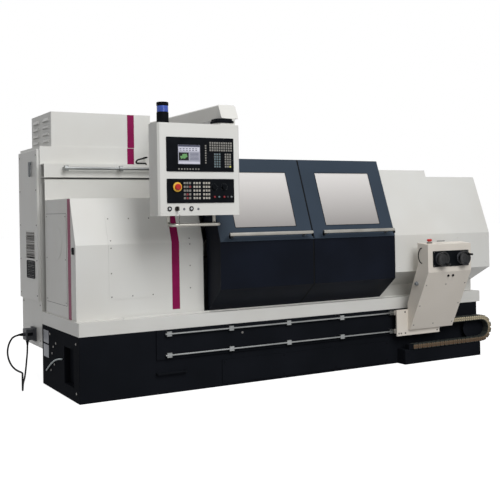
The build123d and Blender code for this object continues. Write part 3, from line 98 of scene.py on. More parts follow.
def gridPiece(name, sheets, finish, body, closed=True, smooth=False):
    # Each sheet is a grid of points; quads join neighbours, and with closed the last column joins the first.
    # A row that shrinks to one point closes an end once doubles are merged.
    sheets = np.asarray(sheets, float)
    sheets = sheets.reshape((-1,) + sheets.shape[-3:])
    count, rows, columns = sheets.shape[:3]
    row, column = np.meshgrid(np.arange(rows - 1), np.arange(columns if closed else columns - 1), indexing="ij")
    after = (column + 1) % columns
    here, above = row * columns, (row + 1) * columns
    quads = np.stack([here + column, here + after, above + after, above + column], -1).reshape(-1, 4)
    quads = (quads + np.arange(count)[:, None, None] * rows * columns).reshape(-1, 4)
    mesh = bpy.data.meshes.new(name)
    mesh.from_pydata((sheets.reshape(-1, 3) * mm).tolist(), [], quads.tolist())
    mergeDoubles(mesh, True)
    mesh.polygons.foreach_set("use_smooth", np.full(len(mesh.polygons), smooth))
    piece = addObject(name, mesh)
    mesh.materials.append(finish)
    if body:
        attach(piece, body)
    return piece


def roundedOutline(width, height, corner, steps=5):
    # rounded rectangle: each corner's centre plus a quarter circle, counter-clockwise
    angle = np.arange(4)[:, None] * np.pi / 2 + np.linspace(0, np.pi / 2, steps)
    signX = np.array([1, -1, -1, 1])[:, None]
    signY = np.array([1, 1, -1, -1])[:, None]
    x = signX * (width / 2 - corner) + corner * np.cos(angle)
    y = signY * (height / 2 - corner) + corner * np.sin(angle)
    return np.stack([x.ravel(), y.ravel()], -1)


def plates(centres, across, up, width, height, thick, corner=1.0, bevel=0.4):
    # rounded plates in five rings each: back middle, back rim, front rim, bevelled rim, front middle;
    # they stand out along across x up, which are one direction for all or one for each;
    # a plate entry in a piece's dictionary lists width, height, thickness, corner and bevel in this order
    across, up = (np.asarray(axis, float).reshape(-1, 1, 1, 3) for axis in (across, up))
    rim = roundedOutline(width, height, corner)
    lip = roundedOutline(width - 2 * bevel, height - 2 * bevel, max(corner - bevel, 0.05))
    rings = np.stack([rim * 0, rim, rim, lip, lip * 0])
    lift = np.array([0, 0, thick - bevel, thick, thick])
    shape = rings[..., :1] * across + rings[..., 1:] * up + lift[:, None, None] * np.cross(across, up)
    return np.atleast_2d(centres)[:, None, None, :] + shape


def turned(centres, axis, profile, sides=20):
    # a profile of (radius, height) pairs turned about an axis through each centre
    axis = np.asarray(axis, float) / np.linalg.norm(axis)
    side = np.cross(axis, toRight if abs(axis[0]) < 0.9 else toUp)
    side /= np.linalg.norm(side)
    angle = np.linspace(0, 2 * np.pi, sides, endpoint=False)
    ring = np.cos(angle)[:, None] * side + np.sin(angle)[:, None] * np.cross(axis, side)
    profile = np.asarray(profile, float)
    shape = profile[:, 0, None, None] * ring + profile[:, 1, None, None] * axis
    return np.atleast_2d(centres)[:, None, None, :] + shape


def tube(path, flatNormal, radius, sides=10):
    # a circle carried along a flat path: one axis is the path's plane normal, the other is square to the path
    path = np.asarray(path, float)
    along = np.gradient(path, axis=0)
    along /= np.linalg.norm(along, axis=1)[:, None]
    side = np.cross(flatNormal, along)
    angle = np.linspace(0, 2 * np.pi, sides, endpoint=False)
    circle = np.cos(angle)[:, None] * side[:, None] + np.sin(angle)[:, None] * np.asarray(flatNormal, float)
    rows = path[:, None] + radius * circle
    return np.concatenate([rows[:1] * 0 + path[0], rows, rows[:1] * 0 + path[-1]])


def foldedStrip(line, xSpan, thick):
    # a flat bar carried along a fold line of (y, z) points, mitred at the folds, outward side to the front
    line = np.asarray(line, float)
    step = np.diff(line, axis=0)
    step /= np.linalg.norm(step, axis=1)[:, None]
    square = np.stack([-step[:, 1], step[:, 0]], -1)
    before, following = np.concatenate([square[:1], square]), np.concatenate([square, square[-1:]])
    mitre = (before + following) / (1 + (before * following).sum(1))[:, None]
    outer = line + thick * mitre
    low, high = np.full(len(line), xSpan[0]), np.full(len(line), xSpan[1])
    ring = np.stack([
        np.column_stack([low, line]), np.column_stack([low, outer]),
        np.column_stack([high, outer]), np.column_stack([high, line]),
    ], 1)
    ends = ring.mean(1, keepdims=True) + 0 * ring
    return np.concatenate([ends[:1], ring, ends[-1:]])


def band(centre, across, up, width, height, corner, profile):
    # a closed profile of (outward from the outline, lift) pairs carried round a rounded rectangle
    across, up = np.asarray(across, float), np.asarray(up, float)
    profile = np.asarray(profile, float)
    outlines = np.stack([roundedOutline(width + 2 * grow, height + 2 * grow, corner + grow) for grow in profile[:, 0]])
    shape = outlines[..., :1] * across + outlines[..., 1:] * up
    shape = shape + profile[:, 1, None, None] * np.cross(across, up)
    return np.asarray(centre) + np.concatenate([shape, shape[:1]])


# Materials

def linearColor(hexText):
    # sRGB hex to linear RGBA
    parts = np.array([int(hexText[i:i + 2], 16) for i in (0, 2, 4)]) / 255
    linear = np.where(parts <= 0.04045, parts / 12.92, ((parts + 0.055) / 1.055) ** 2.4)
    return (*linear.tolist(), 1.0)


def addNode(material, kind, settings=None, links=None):
    # adds one node; settings name properties or input sockets, links give (source node, its output) by input
    node = material.node_tree.nodes.new(kind)
    for key, value in (settings or {}).items():
        if hasattr(node, key):
            setattr(node, key, value)
        else:
            node.inputs[key].default_value = value
    for key, (source, output) in (links or {}).items():
        material.node_tree.links.new(source.outputs[output], node.inputs[key])
    return node


def startMaterial(name, hexText, metallic, roughness, **sockets):
    material = bpy.data.materials.new(name)
    material.use_nodes = True
    shader = material.node_tree.nodes["Principled BSDF"]
    shader.inputs["Base Color"].default_value = linearColor(hexText)
    shader.inputs["Metallic"].default_value = metallic
    shader.inputs["Roughness"].default_value = roughness
    for key, value in sockets.items():
        shader.inputs[key].default_value = value
    return material


def perMetre(millimetres):
    # texture scale that repeats once in a real length
    return 1000 / millimetres


def toneRamp(material, factor, lowHex, highHex, ends=(0.0, 1.0)):
    # the base colour runs between two tones
    tone = addNode(material, "ShaderNodeValToRGB", None, {"Fac": factor})
    for element, place, hexText in zip(tone.color_ramp.elements, ends, (lowHex, highHex)):
        element.position, element.color = place, linearColor(hexText)
    shader = material.node_tree.nodes["Principled BSDF"]
    material.node_tree.links.new(tone.outputs["Color"], shader.inputs["Base Color"])


def surfaceGrain(material, hexText, tintHex, grain, height, cloud, stretch=(1, 1, 1), gloss=(0.0, 0.0)):
    # Fine grain drives the bump, a wide cloud drifts the colour between two tones and the roughness in a range.
    shader = material.node_tree.nodes["Principled BSDF"]
    place = addNode(material, "ShaderNodeTexCoord")
    turn = addNode(material, "ShaderNodeMapping", {"Scale": stretch}, {"Vector": (place, "Object")})
    fine, wide = (
        addNode(material, "ShaderNodeTexNoise", {"Scale": perMetre(size), "Detail": detail}, {"Vector": source})
        for size, detail, source in ((grain, 3.0, (turn, "Vector")), (cloud, 2.0, (place, "Object")))
    )
    toneRamp(material, (wide, "Fac"), tintHex, hexText, ends=(0.35, 0.65))
    bump = addNode(material, "ShaderNodeBump", {"Strength": 1.0, "Distance": height * mm}, {"Height": (fine, "Fac")})
    material.node_tree.links.new(bump.outputs["Normal"], shader.inputs["Normal"])
    if gloss[1] > gloss[0]:
        shine = addNode(
            material, "ShaderNodeMapRange", {"To Min": gloss[0], "To Max": gloss[1]}, {"Value": (fine, "Fac")}
        )
        material.node_tree.links.new(shine.outputs["Result"], shader.inputs["Roughness"])
    return material


def paint(name, hexText, tintHex, roughness, specular=0.5):
    # powder coat baked on sheet steel: orange peel, real peel is about 1 mm and is drawn 6 mm wide to show
    material = startMaterial(name, hexText, 0.0, roughness, **{"Specular IOR Level": specular})
    gloss = (roughness - 0.06, roughness + 0.06)
    return surfaceGrain(material, hexText, tintHex, grain=6, height=0.05, cloud=420, gloss=gloss)


def moulded(name, hexText, tintHex, roughness, specular=0.4):
    # moulded plastic: spark-eroded grain, drawn 2.5 mm wide to show
    material = startMaterial(name, hexText, 0.0, roughness, **{"Specular IOR Level": specular})
    return surfaceGrain(material, hexText, tintHex, grain=2.5, height=0.04, cloud=90)


def groundMetal(name, hexText, tintHex, roughness, stretch):
    # ground or drawn steel: fine lines along the bar, drawn 3 mm apart to show
    material = startMaterial(name, hexText, 1.0, roughness)
    gloss = (roughness - 0.08, roughness + 0.12)
    return surfaceGrain(material, hexText, tintHex, grain=3, height=0.02, cloud=160, stretch=stretch, gloss=gloss)


whiteCoat = paint("whitePowderCoat", "DEDEDA", "DAD9D4", 0.42, specular=0.35)
warmCoat = paint("warmWhitePowderCoat", "E2DBD1", "DCD5CA", 0.42, specular=0.3)
blackCoat = paint("blackPowderCoat", "17191D", "1B1D22", 0.6, specular=0.003)
navyEnamel = paint("navyEnamel", "0D111A", "121722", 0.34, specular=0.05)
slateCoat = paint("slatePowderCoat", "303B47", "35404D", 0.44, specular=0.12)
magentaFilm = moulded("magentaVinylFilm", "8C1450", "831149", 0.4, specular=0.1)
blackAbs = moulded("blackAbs", "101215", "15171B", 0.45, specular=0.02)
greyAbs = moulded("greyAbs", "7E8284", "74787B", 0.5)
ventAbs = moulded("ventGreyAbs", "6B6864", "605E5A", 0.5, specular=0.2)
darkAbs = moulded("darkGreyAbs", "46474B", "3D3E42", 0.5, specular=0.15)
linkAbs = moulded("chainCoverAbs", "3A3D3A", "323532", 0.55, specular=0.15)
keyFoil = moulded("keyFoilGrey", "989690", "8C8A84", 0.5, specular=0.15)
keyWhite = moulded("keyFoilWhite", "C9C4BA", "BDB8AE", 0.5, specular=0.15)
keyGreen = moulded("keyFoilTeal", "71868C", "677C82", 0.5, specular=0.15)
keyYellow = moulded("keyFoilYellow", "E4E06A", "DAD55C", 0.5)
keyRed = moulded("keyFoilRed", "9A2B32", "8C242B", 0.5)
stopRed = moulded("stopButtonRed", "C01A14", "B41510", 0.3)
stopYellow = moulded("stopCollarYellow", "E6B63C", "DDAA30", 0.4)
# chain polyamide; its colour is made darker towards the floor below, as painted shade
chainPlasticWithPaintedShade = moulded("chainPolyamidePaintedShade", "8A7B62", "776950", 0.55, specular=0.15)
# pressed phenolic resin of the handwheels, polished
blackPhenolic = moulded("blackPhenolic", "141518", "101113", 0.28, specular=0.3)
blackRubber = moulded("blackRubber", "0D0E0F", "131415", 0.6, specular=0.08)
paleHose = moulded("paleHose", "B9C4C6", "AAB5B7", 0.4)
barePlate = groundMetal("bareTinPlate", "6C6E73", "626469", 0.42, (1, 1, 1))
barSteel = groundMetal("drawnBarSteel", "9A9892", "8C8A84", 0.34, (0.04, 1, 1))
railSteel = groundMetal("groundRailSteel", "8E9090", "7F8181", 0.38, (0.04, 1, 1))
turnedSteel = groundMetal("turnedSteel", "A7A9AC", "989A9D", 0.32, (1, 1, 1))
castIron = surfaceGrain(  # painted sand casting: coarse skin
    startMaterial("paintedCasting", "585C5F", 0.0, 0.5), "585C5F", "505457", grain=9, height=0.25, cloud=300)
castAluminium = groundMetal("machinedAluminium", "B0B2B4", "A5A7A9", 0.38, (1, 1, 1))
brownedSteel = groundMetal("brownedSteel", "4B4845", "3F3C39", 0.4, (1, 1, 1))
chromePlate = startMaterial("chromePlate", "C9CBCD", 1.0, 0.12)
surfaceGrain(chromePlate, "C9CBCD", "BFC1C3", grain=2, height=0.004, cloud=60, gloss=(0.08, 0.16))
screwZinc = startMaterial("zincScrew", "7D7B78", 1.0, 0.4)
surfaceGrain(screwZinc, "7D7B78", "686664", grain=2, height=0.02, cloud=30)


def fadeByHeight(material, lowZ, highZ, lowHex, highHex):
    # colour that runs from one tone to another between two real heights
    place = addNode(material, "ShaderNodeTexCoord")
    axes = addNode(material, "ShaderNodeSeparateXYZ", None, {"Vector": (place, "Object")})
    heights = {"From Min": lowZ * mm, "From Max": highZ * mm}
    share = addNode(material, "ShaderNodeMapRange", heights, {"Value": (axes, "Z")})
    toneRamp(material, (share, "Result"), lowHex, highHex)


# window film: frosted polycarbonate; its colour is painted lighter towards the top and darker towards the bottom, a
# painted reflection of the bright surroundings on the leaning pane
paneWithPaintedReflection = startMaterial("polycarbonatePaintedReflection", "CFCCC9", 0.0, 0.24)
paneLow, paneHigh = span("right_window")
fadeByHeight(paneWithPaintedReflection, paneLow[2], paneHigh[2], "9A9694", "E2DFDC")
# chain: painted shade, the links' colour made darker towards the floor where the lower run lies in shade
fadeByHeight(chainPlasticWithPaintedShade, 130, 330, "66513D", "C6BB9E")

# lamp lens: blue acrylic, lit a little from inside
blueLens = startMaterial("blueAcrylicLens", "1B3F9C", 0.0, 0.16,
                         **{"Emission Strength": 0.12, "Emission Color": linearColor("2F66D8")})
surfaceGrain(blueLens, "1F47A8", "173687", grain=5, height=0.05, cloud=30)


def litGlass(name, hexText, strength):
    # backlit display glass: smooth, with its own light
    light = {"Emission Strength": strength, "Emission Color": linearColor(hexText), "Specular IOR Level": 0.25}
    material = startMaterial(name, hexText, 0.0, 0.2, **light)
    return surfaceGrain(material, hexText, hexText, grain=2, height=0.002, cloud=40)


screenGrey = litGlass("displayGrey", "9A9BA8", 0.2)
screenPale = litGlass("displayPale", "BCBCC7", 0.25)
screenDark = litGlass("displayDark", "10140F", 0.05)
screenGreen = litGlass("displayGreen", "5E8C58", 0.3)
screenInk = litGlass("displayInk", "3F4254", 0.1)

finishes = {
    whiteCoat: ["chip_tray", "headstock_cover", "cabinet", "louvred_box", "guide_beam", "rear_guard",
                "tailstock_cover", "boom", "boom_post", "cabinet_door", "panel_housing"],
    blackCoat: ["base"],
    navyEnamel: ["left_door_skirt", "right_door_skirt"],
    slateCoat: ["left_door_frame", "right_door_frame"],
    warmCoat: ["console_stand", "console_carriage"],
    paneWithPaintedReflection: ["left_window", "right_window"],
    barSteel: ["left_door_handle", "right_door_handle", "panel_handle"],
    railSteel: ["guide_pole", "console_rails"],
    blackAbs: ["screen_unit", "machine_unit", "console_face", "spindle_dial", "feed_dial", "signal_lamp"],
    blackPhenolic: ["left_handwheel", "right_handwheel"],
    keyFoil: ["control_keys"],
    stopRed: ["console_stop", "panel_stop"],
    linkAbs: ["chain_lower", "chain_bend", "chain_upper"],
    castIron: ["bed", "headstock", "saddle", "cross_slide", "tailstock"],
    turnedSteel: ["spindle", "chuck", "jaw_1", "jaw_2", "jaw_3", "quill", "turret"],
    castAluminium: ["motor_pulley", "drive_rack"],
    blackRubber: ["spindle_motor", "drive_belt", "mains_cord", "door_cable"],
    darkAbs: ["mains_connector"],
    greyAbs: ["cabinet_handle"],
    brownedSteel: ["key_switch"],
}
for finish, names in finishes.items():
    for name in names:
        nodes[name].data.materials.clear()
        nodes[name].data.materials.append(finish)
print("materials set on", sum(map(len, finishes.values())), "nodes")

# Screws: low pan heads, each with a flat rim and a shallow socket
panHead = [(0, 0), (1.0, 0), (1.0, 0.28), (0.86, 0.46), (0.4, 0.5), (0.34, 0.3), (0, 0.3)]


def screwRow(name, centres, outward, radius, body="machine", finish=screwZinc):
    profile = np.array(panHead) * radius
    gridPiece(name, turned(np.array(centres), outward, profile, sides=12), finish, body)


# Stripes: magenta film on the covers
stripe = {"thick": 0.8, "sideMiddle": 216, "sideWidth": 62, "frontLeft": 698, "frontWidth": 57, "frontFoot": 34,
          "boxMiddle": 622.5, "cabinetMiddle": 705.5, "boxWidth": 55, "edgeGap": 2, "beamGap": 8}
coverLow = span("headstock_cover")[0]
crease = {"rise": 495, "slantBack": 105, "slantRise": 806}
stripeTop = coverLow[2] + crease["slantRise"] - stripe["edgeGap"]
coverLine = [
    (coverLow[1], coverLow[2] + stripe["frontFoot"]),
    (coverLow[1], coverLow[2] + crease["rise"]),
    (coverLow[1] + crease["slantBack"], stripeTop),
]
stripeLeft = trayLow[0] + stripe["frontLeft"]
gridPiece("frontStripe", foldedStrip(coverLine, (stripeLeft, stripeLeft + stripe["frontWidth"]), stripe["thick"]),
          magentaFilm, "machine")


def wallStripe(name, x, y, lowZ, highZ, width, across):
    # a flat stripe up a wall, by the middle of its width
    film = plates([x, y, (lowZ + highZ) / 2], across, toUp, width, highZ - lowZ, stripe["thick"])
    gridPiece(name, film, magentaFilm, "machine")


wallStripe("sideStripe", coverLow[0], trayLow[1] + stripe["sideMiddle"], coverLow[2] + stripe["edgeGap"], stripeTop,
           stripe["sideWidth"], toFront)
boxLow, boxHigh = span("louvred_box")
wallStripe("boxStripe", boxLow[0] + stripe["boxMiddle"], boxLow[1], boxLow[2] + stripe["edgeGap"],
           boxHigh[2] - stripe["edgeGap"], stripe["boxWidth"], toRight)
cabinetLow, cabinetHigh = span("cabinet")
beamTop = span("guide_beam")[1][2]
wallStripe("cabinetStripe", cabinetLow[0] + stripe["cabinetMiddle"], cabinetLow[1], beamTop + stripe["beamGap"],
           cabinetHigh[2] - stripe["edgeGap"], stripe["boxWidth"], toRight)
print("stripes done")

# Headstock service panels: one bent over the crease, one flat on the end, with their screws
service = {"thick": 1.6, "frontLeft": 226, "frontRight": 666, "low": 128, "high": 684, "screw": 4.5, "inset": 18,
           "rowStep": 148, "edgeRises": (303, 471, 520), "frameX": 823, "frameRises": (175, 330, 480, 520),
           "sideFront": 188, "sideBack": 658, "sideLow": 87, "sideHigh": 705, "corner": 6,
           "roundRadius": 118, "roundRise": 507, "roundBack": 406}


def coverPoint(x, rise, lift=0.0):
    # a point on the headstock cover's front, by its height over the tray, and the outward direction there
    over = max(rise - crease["rise"], 0)
    slope = crease["slantBack"] / (crease["slantRise"] - crease["rise"])
    back = slope * over
    outward = np.array([0, -1, 0]) if over == 0 else np.array([0, -1, slope]) / math.hypot(1, slope)
    return np.array([coverLow[0] + x, coverLow[1] + back, coverLow[2] + rise]) + lift * outward, outward


panelLine = [coverPoint(0, rise)[0][1:] for rise in (service["low"], crease["rise"], service["high"])]
panelEnds = (coverLow[0] + service["frontLeft"], coverLow[0] + service["frontRight"])
inset, raised = service["inset"], service["thick"]
gridPiece("frontServicePanel", foldedStrip(panelLine, panelEnds, raised), whiteCoat, "machine")
edgeX = service["frontLeft"] + inset
rowXs = edgeX + np.arange(3) * service["rowStep"]
panelPlaces = [(x, rise, raised) for rise in (service["low"] + inset, service["high"] - inset) for x in rowXs]
panelPlaces += [(edgeX, rise, raised) for rise in service["edgeRises"]]
panelPlaces += [(service["frameX"], rise, 0) for rise in service["frameRises"]]
for name, onSlant in (("frontPanelLowScrews", False), ("frontPanelHighScrews", True)):
    points = [coverPoint(*place) for place in panelPlaces if (place[1] > crease["rise"]) == onSlant]
    screwRow(name, [point[0] for point in points], points[0][1], service["screw"])

sideWidth = service["sideBack"] - service["sideFront"]
sideHeight = service["sideHigh"] - service["sideLow"]
sideCentre = coverLow + [0, service["sideFront"] + sideWidth / 2, service["sideLow"] + sideHeight / 2]
gridPiece("endServicePanel", plates(sideCentre, toFront, toUp, sideWidth, sideHeight, raised, service["corner"]),
          whiteCoat, "machine")
seam = np.array([(0, 0), (0, 0.6), (3, 0.6), (3, 0)])
gridPiece("endPanelSeam", band(sideCentre, toFront, toUp, sideWidth, sideHeight, service["corner"], seam),
          ventAbs, "machine")
screwY, screwZ = sideWidth / 2 - inset, sideHeight / 2 - inset
sideScrews = [sideCentre + [-raised, y, z] for y in (-screwY, screwY) for z in (-screwZ, 0, screwZ)]
screwRow("endPanelScrews", sideScrews, toLeft, service["screw"])
barCover = coverLow + [-raised, service["roundBack"], service["roundRise"]]
rim = service["roundRadius"]
gridPiece("barHoleCover", turned(barCover, toLeft, [(0, 0), (rim, 0), (rim, 1.2), (rim - 1, 2), (0, 2)], sides=64),
          whiteCoat, "machine")
latch = {"back": 45, "rise": 459, "plate": (30, 46, 9, 5, 2.5), "keyPlace": (-9, 0, 8),
         "key": [(0, 0), (9, 0), (9, 3), (7, 4.5), (0, 4.5)]}
latchSpot = coverLow + [0, latch["back"], latch["rise"]]
gridPiece("coverLatch", plates(latchSpot, toFront, toUp, *latch["plate"]), blackAbs, "machine")
gridPiece("coverLatchKey", turned(latchSpot + latch["keyPlace"], toLeft, latch["key"]), darkAbs, "machine")
print("service panels done")

# Louvres: pressed hoods over the slots in the box's ends, a quarter-round swell that opens downwards
louvre = {"length": 156, "drop": 26, "depth": 11, "boomSideDepth": 4, "seat": 0.2, "sheet": 1.2, "pitch": 51.6,
          "rows": 4, "columns": (0.25, 0.75)}


def louvreHoods(wallX, outSign, depth):
    # height over the wall: depth times the sine of the way down, times a rounded end profile along the slot
    u, v = np.meshgrid(np.linspace(-1, 1, 25), np.linspace(0, 1, 9), indexing="ij")
    ends = np.sqrt(np.clip(1 - np.abs(u) ** 6, 0, 1))
    lift = depth * np.sin(v * np.pi / 2) * ends
    depthSpan = boxHigh[1] - boxLow[1]
    rows = np.arange(louvre["rows"]) - (louvre["rows"] - 1) / 2
    middleZ = (boxLow[2] + boxHigh[2]) / 2 + rows * louvre["pitch"]
    middleY = boxLow[1] + np.array(louvre["columns"]) * depthSpan
    y, z = [grid.ravel()[:, None, None] for grid in np.meshgrid(middleY, middleZ)]
    sheetY = y + u * louvre["length"] / 2
    sheetZ = z + louvre["drop"] / 2 - v * louvre["drop"]
    sheetX = np.broadcast_to(wallX + outSign * (lift + louvre["seat"]), sheetY.shape)
    return np.stack([sheetX, sheetY, sheetZ], -1)


for name, wallX, outSign, depth in (("leftLouvreHoods", boxLow[0], -1, louvre["depth"]),
                                    ("rightLouvreHoods", boxHigh[0], 1, louvre["boomSideDepth"])):
    hoods = gridPiece(name, louvreHoods(wallX, outSign, depth), whiteCoat, "machine", closed=False,
                      smooth=True)
    wall = hoods.modifiers.new("sheet", "SOLIDIFY")
    wall.thickness, wall.offset = louvre["sheet"] * mm, 0

# Cabinet: vent blades and a fan grille in the door, screws on the door, the foot and the back
doorLow, doorHigh = span("cabinet_door")
vent = {"middle": (0, 191.5, 411), "width": 225, "height": 204, "corner": 4, "frame": (9, 2), "blades": 11, "pitch": 17,
        "blade": (219, 13, 3), "bevel": 1.2}
fan = {"middle": (0, 185, 227), "width": 196, "height": 116, "corner": 6, "frame": (8, 5), "blades": 9, "pitch": 12.5,
       "blade": (200, 10.5, 4), "bevel": 1.5}
flatBand = np.array([(0, 0), (0, 1), (1, 1), (1, 0)], float)
for grille, frameLook, bladeLook in (
    (vent, ("ventFrame", whiteCoat, "white_paint"), ("ventBlades", ventAbs, "plug_plastic")),
    (fan, ("fanFrame", blackAbs, "black_plastic"), ("fanGrille", blackAbs, "black_plastic")),
):
    middle = doorLow + grille["middle"]
    size = grille["width"], grille["height"], grille["corner"]
    rises = (np.arange(grille["blades"]) - (grille["blades"] - 1) / 2) * grille["pitch"]
    surround = band(middle, toFront, toUp, *size, flatBand * grille["frame"])
    blades = plates(middle + np.outer(rises, toUp), toFront, toUp, *grille["blade"], corner=2, bevel=grille["bevel"])
    for (name, finish, slot), sheets in ((frameLook, surround), (bladeLook, blades)):
        gridPiece(name, sheets, finish, "cabinet_door")
cabinetScrew = {"radius": 6, "inset": 40, "hingeInset": 22, "count": 5, "footRises": (300, 560), "shelfRise": 736}
inset = cabinetScrew["inset"]
doorScrews = [(doorLow[0], y, z) for y in (doorLow[1] + cabinetScrew["hingeInset"], doorHigh[1] - inset)
              for z in np.linspace(doorLow[2] + inset, doorHigh[2] - inset, cabinetScrew["count"])]
footScrews = [(cabinetLow[0], y, z) for y in (cabinetLow[1] + inset, cabinetHigh[1] - inset)
              for z in cabinetScrew["footRises"]]
backScrews = [(x, cabinetHigh[1], z)
              for x in np.linspace(cabinetLow[0] + inset, cabinetHigh[0] - inset, cabinetScrew["count"])
              for z in (cabinetLow[2] + inset, cabinetLow[2] + cabinetScrew["shelfRise"], cabinetHigh[2] - inset)]
screwRow("cabinetDoorScrews", doorScrews, toLeft, cabinetScrew["radius"], "cabinet_door")
screwRow("cabinetFootScrews", footScrews, toLeft, cabinetScrew["radius"])
screwRow("cabinetBackScrews", backScrews, toBack, cabinetScrew["radius"])
print("cabinet trim done")

# Doors: rubber gaskets round the panes, on the slanted frames, and caps on the ends of the door handles
slant = {"up": np.array([0, 216.0, 587.0]), "low": 101, "height": 418, "corner": 5, "footRise": 495, "foot": -138,
         "deckDrop": 7.7}
slantUp = slant["up"] / np.linalg.norm(slant["up"])
deckHeight = trayHigh[2] - slant["deckDrop"]
frameFoot = np.array([trayLow[1] + slant["foot"], deckHeight + slant["footRise"]])
roundBand = np.array([(-1, 0), (-0.8, 1.4), (0.5, 2), (2, 1.6), (3, 0)], float)
handleCap = {"middle": 12.5, "gap": 0.1, "profile": [(0, -1.5), (12.9, -1.5), (12.9, 1), (11, 2.4), (0, 2.4)]}
for side in ("left", "right"):
    low, high = span(side + "_window")
    centre = np.array([(low[0] + high[0]) / 2, *frameFoot]) + slantUp * (slant["low"] + slant["height"] / 2)
    gasket = band(centre, toRight, slantUp, high[0] - low[0], slant["height"], slant["corner"], roundBand)
    gridPiece(side + "WindowGasket", gasket, blackRubber, side + "_door", smooth=True)
    barLow, barHigh = span(side + "_door_handle")
    barMiddle = barLow[1:] + handleCap["middle"]
    for capName, x, outward in (("HandleCapLeft", barLow[0] - handleCap["gap"], toLeft),
                                ("HandleCapRight", barHigh[0] + handleCap["gap"], toRight)):
        cap = turned([x, *barMiddle], outward, handleCap["profile"])
        gridPiece(side + capName, cap, blackAbs, side + "_door")

# Rubber seal down the meeting edge of the left door, on its frame and on its skirt
seal = {"left": 1727, "right": 1735, "thick": 1.2, "frameShares": (0.01, 0.995),
        "skirt": [(64, 11.2), (-132, 168), (-132, 490)]}
sealX = (trayLow[0] + seal["left"], trayLow[0] + seal["right"])
frameEdge = [frameFoot + share * slant["up"][1:] for share in seal["frameShares"]]
skirtEdge = np.array(seal["skirt"]) + [trayLow[1], deckHeight]
for name, edge in (("doorFrameSeal", frameEdge), ("doorSkirtSeal", skirtEdge)):
    gridPiece(name, foldedStrip(edge, sealX, seal["thick"]), blackRubber, "left_door")
print("doors done")

# Control panel: screen picture, key caps, stop collar, buttons, locks, key chain, lamp lens, screws and swivel
screenLow, screenHigh = span("screen_unit")
machineLow, machineHigh = span("machine_unit")
panelLow, panelHigh = span("panel_housing")
panelFace, unitFace = panelLow[1], screenLow[1]
screen = {"left": 80, "drop": 48, "width": 159, "height": 126, "deep": 3}
screenCorner = np.array([screenLow[0] + screen["left"], unitFace + screen["deep"], screenHigh[2] - screen["drop"]])


def screenPatches(name, middles, width, height, lift, finish):
    patches = plates(middles, toRight, toUp, width, height, lift, corner=0.3, bevel=0.05)
    gridPiece(name, patches, finish, "panel")


def screenPlate(name, left, top, width, height, lift, finish):
    # flat patch of the picture, in shares of the screen
    middle = screenCorner + [(left + width / 2) * screen["width"], 0, -(top + height / 2) * screen["height"]]
    screenPatches(name, middle, width * screen["width"], height * screen["height"], lift, finish)


screenPlate("screenGround", 0.01, 0.01, 0.98, 0.98, 0.5, screenGrey)
screenPlate("screenTitle", 0.02, 0.02, 0.96, 0.08, 0.8, screenInk)
screenPlate("screenReadout", 0.03, 0.13, 0.94, 0.21, 0.8, screenPale)
screenPlate("screenView", 0.04, 0.4, 0.44, 0.4, 0.8, screenDark)
screenPlate("screenFoot", 0.02, 0.86, 0.96, 0.11, 0.8, screenPale)
digits = np.array([(0.08 + 0.14 * column, 0.17 + 0.085 * row) for row in range(2) for column in range(6)])
digitSpots = screenCorner + np.column_stack(
    [digits[:, 0] * screen["width"] + 6, digits[:, 0] * 0, -digits[:, 1] * screen["height"] - 4])
screenPatches("screenDigits", digitSpots, 13, 4.4, 1.1, screenInk)
listSpots = screenCorner + np.column_stack(
    [np.full(6, 0.735) * screen["width"], np.zeros(6), -(0.43 + 0.066 * np.arange(6)) * screen["height"]])
screenPatches("screenList", listSpots, 62, 2.4, 1.0, screenInk)
viewSpot = screenCorner + [0.26 * screen["width"], -0.8, -0.6 * screen["height"]]
workShape = [(0, -24), (9, -24), (9, -6), (15, -6), (15, 8), (11, 12), (11, 24), (0, 24)]
flatten = np.array([1, 0.02, 1])  # a turned shape pressed flat on the glass
workpiece = turned([[0, 0, 0]], (1, 0, 0.35), workShape) * flatten + viewSpot
gridPiece("screenWorkpiece", workpiece, screenGreen, "panel")
bezelMiddle = screenCorner + [screen["width"] / 2, -screen["deep"], -screen["height"] / 2]
bezelRim = np.array([(0, 0), (0.5, 0.8), (3, 0.8), (4, 0)])
gridPiece("screenBezel", band(bezelMiddle, toRight, toUp, screen["width"], screen["height"], 2, bezelRim),
          blackAbs, "panel")

keys = {"proud": 2, "cap": 0.5, "capGap": 1, "machineKey": 13, "machinePitchX": 19, "machinePitchZ": 24.2,
        "machineLeft": 116, "blockPitch": 68.5, "machineDrop": 21, "letterKey": 11, "letterPitch": 17, "letterRow": 16,
        "letterLeft": 305, "letterDrop": 27, "cursorLeft": 338, "editLeft": 416, "cursorDrop": 101}


def keySpots(left, top, columns, rows, pitchX, pitchZ, size):
    # middles of a grid of keys, from the upper left key's corner
    column, row = np.meshgrid(np.arange(columns), np.arange(rows))
    x = left + column.ravel() * pitchX + size / 2
    z = top - row.ravel() * pitchZ - size / 2
    return np.column_stack([x, np.full(x.shape, unitFace - keys["proud"]), z])


def keyCaps(name, spots, size, finish):
    caps = plates(spots, toRight, toUp, size, size, keys["cap"], corner=1.2, bevel=0.3)
    marks = plates(spots + [0, -keys["cap"], 0], toRight, toUp, size * 0.42, size * 0.16, 0.15, 0.3, 0.05)
    gridPiece(name, caps, finish, "panel")
    gridPiece(name + "Marks", marks, screenInk, "panel")


def letterBlock(left, drop, columns, rows):
    # a block of small keys beside the screen
    return keySpots(screenLow[0] + left, screenHigh[2] - drop, columns, rows, keys["letterPitch"], keys["letterRow"],
                    keys["letterKey"])


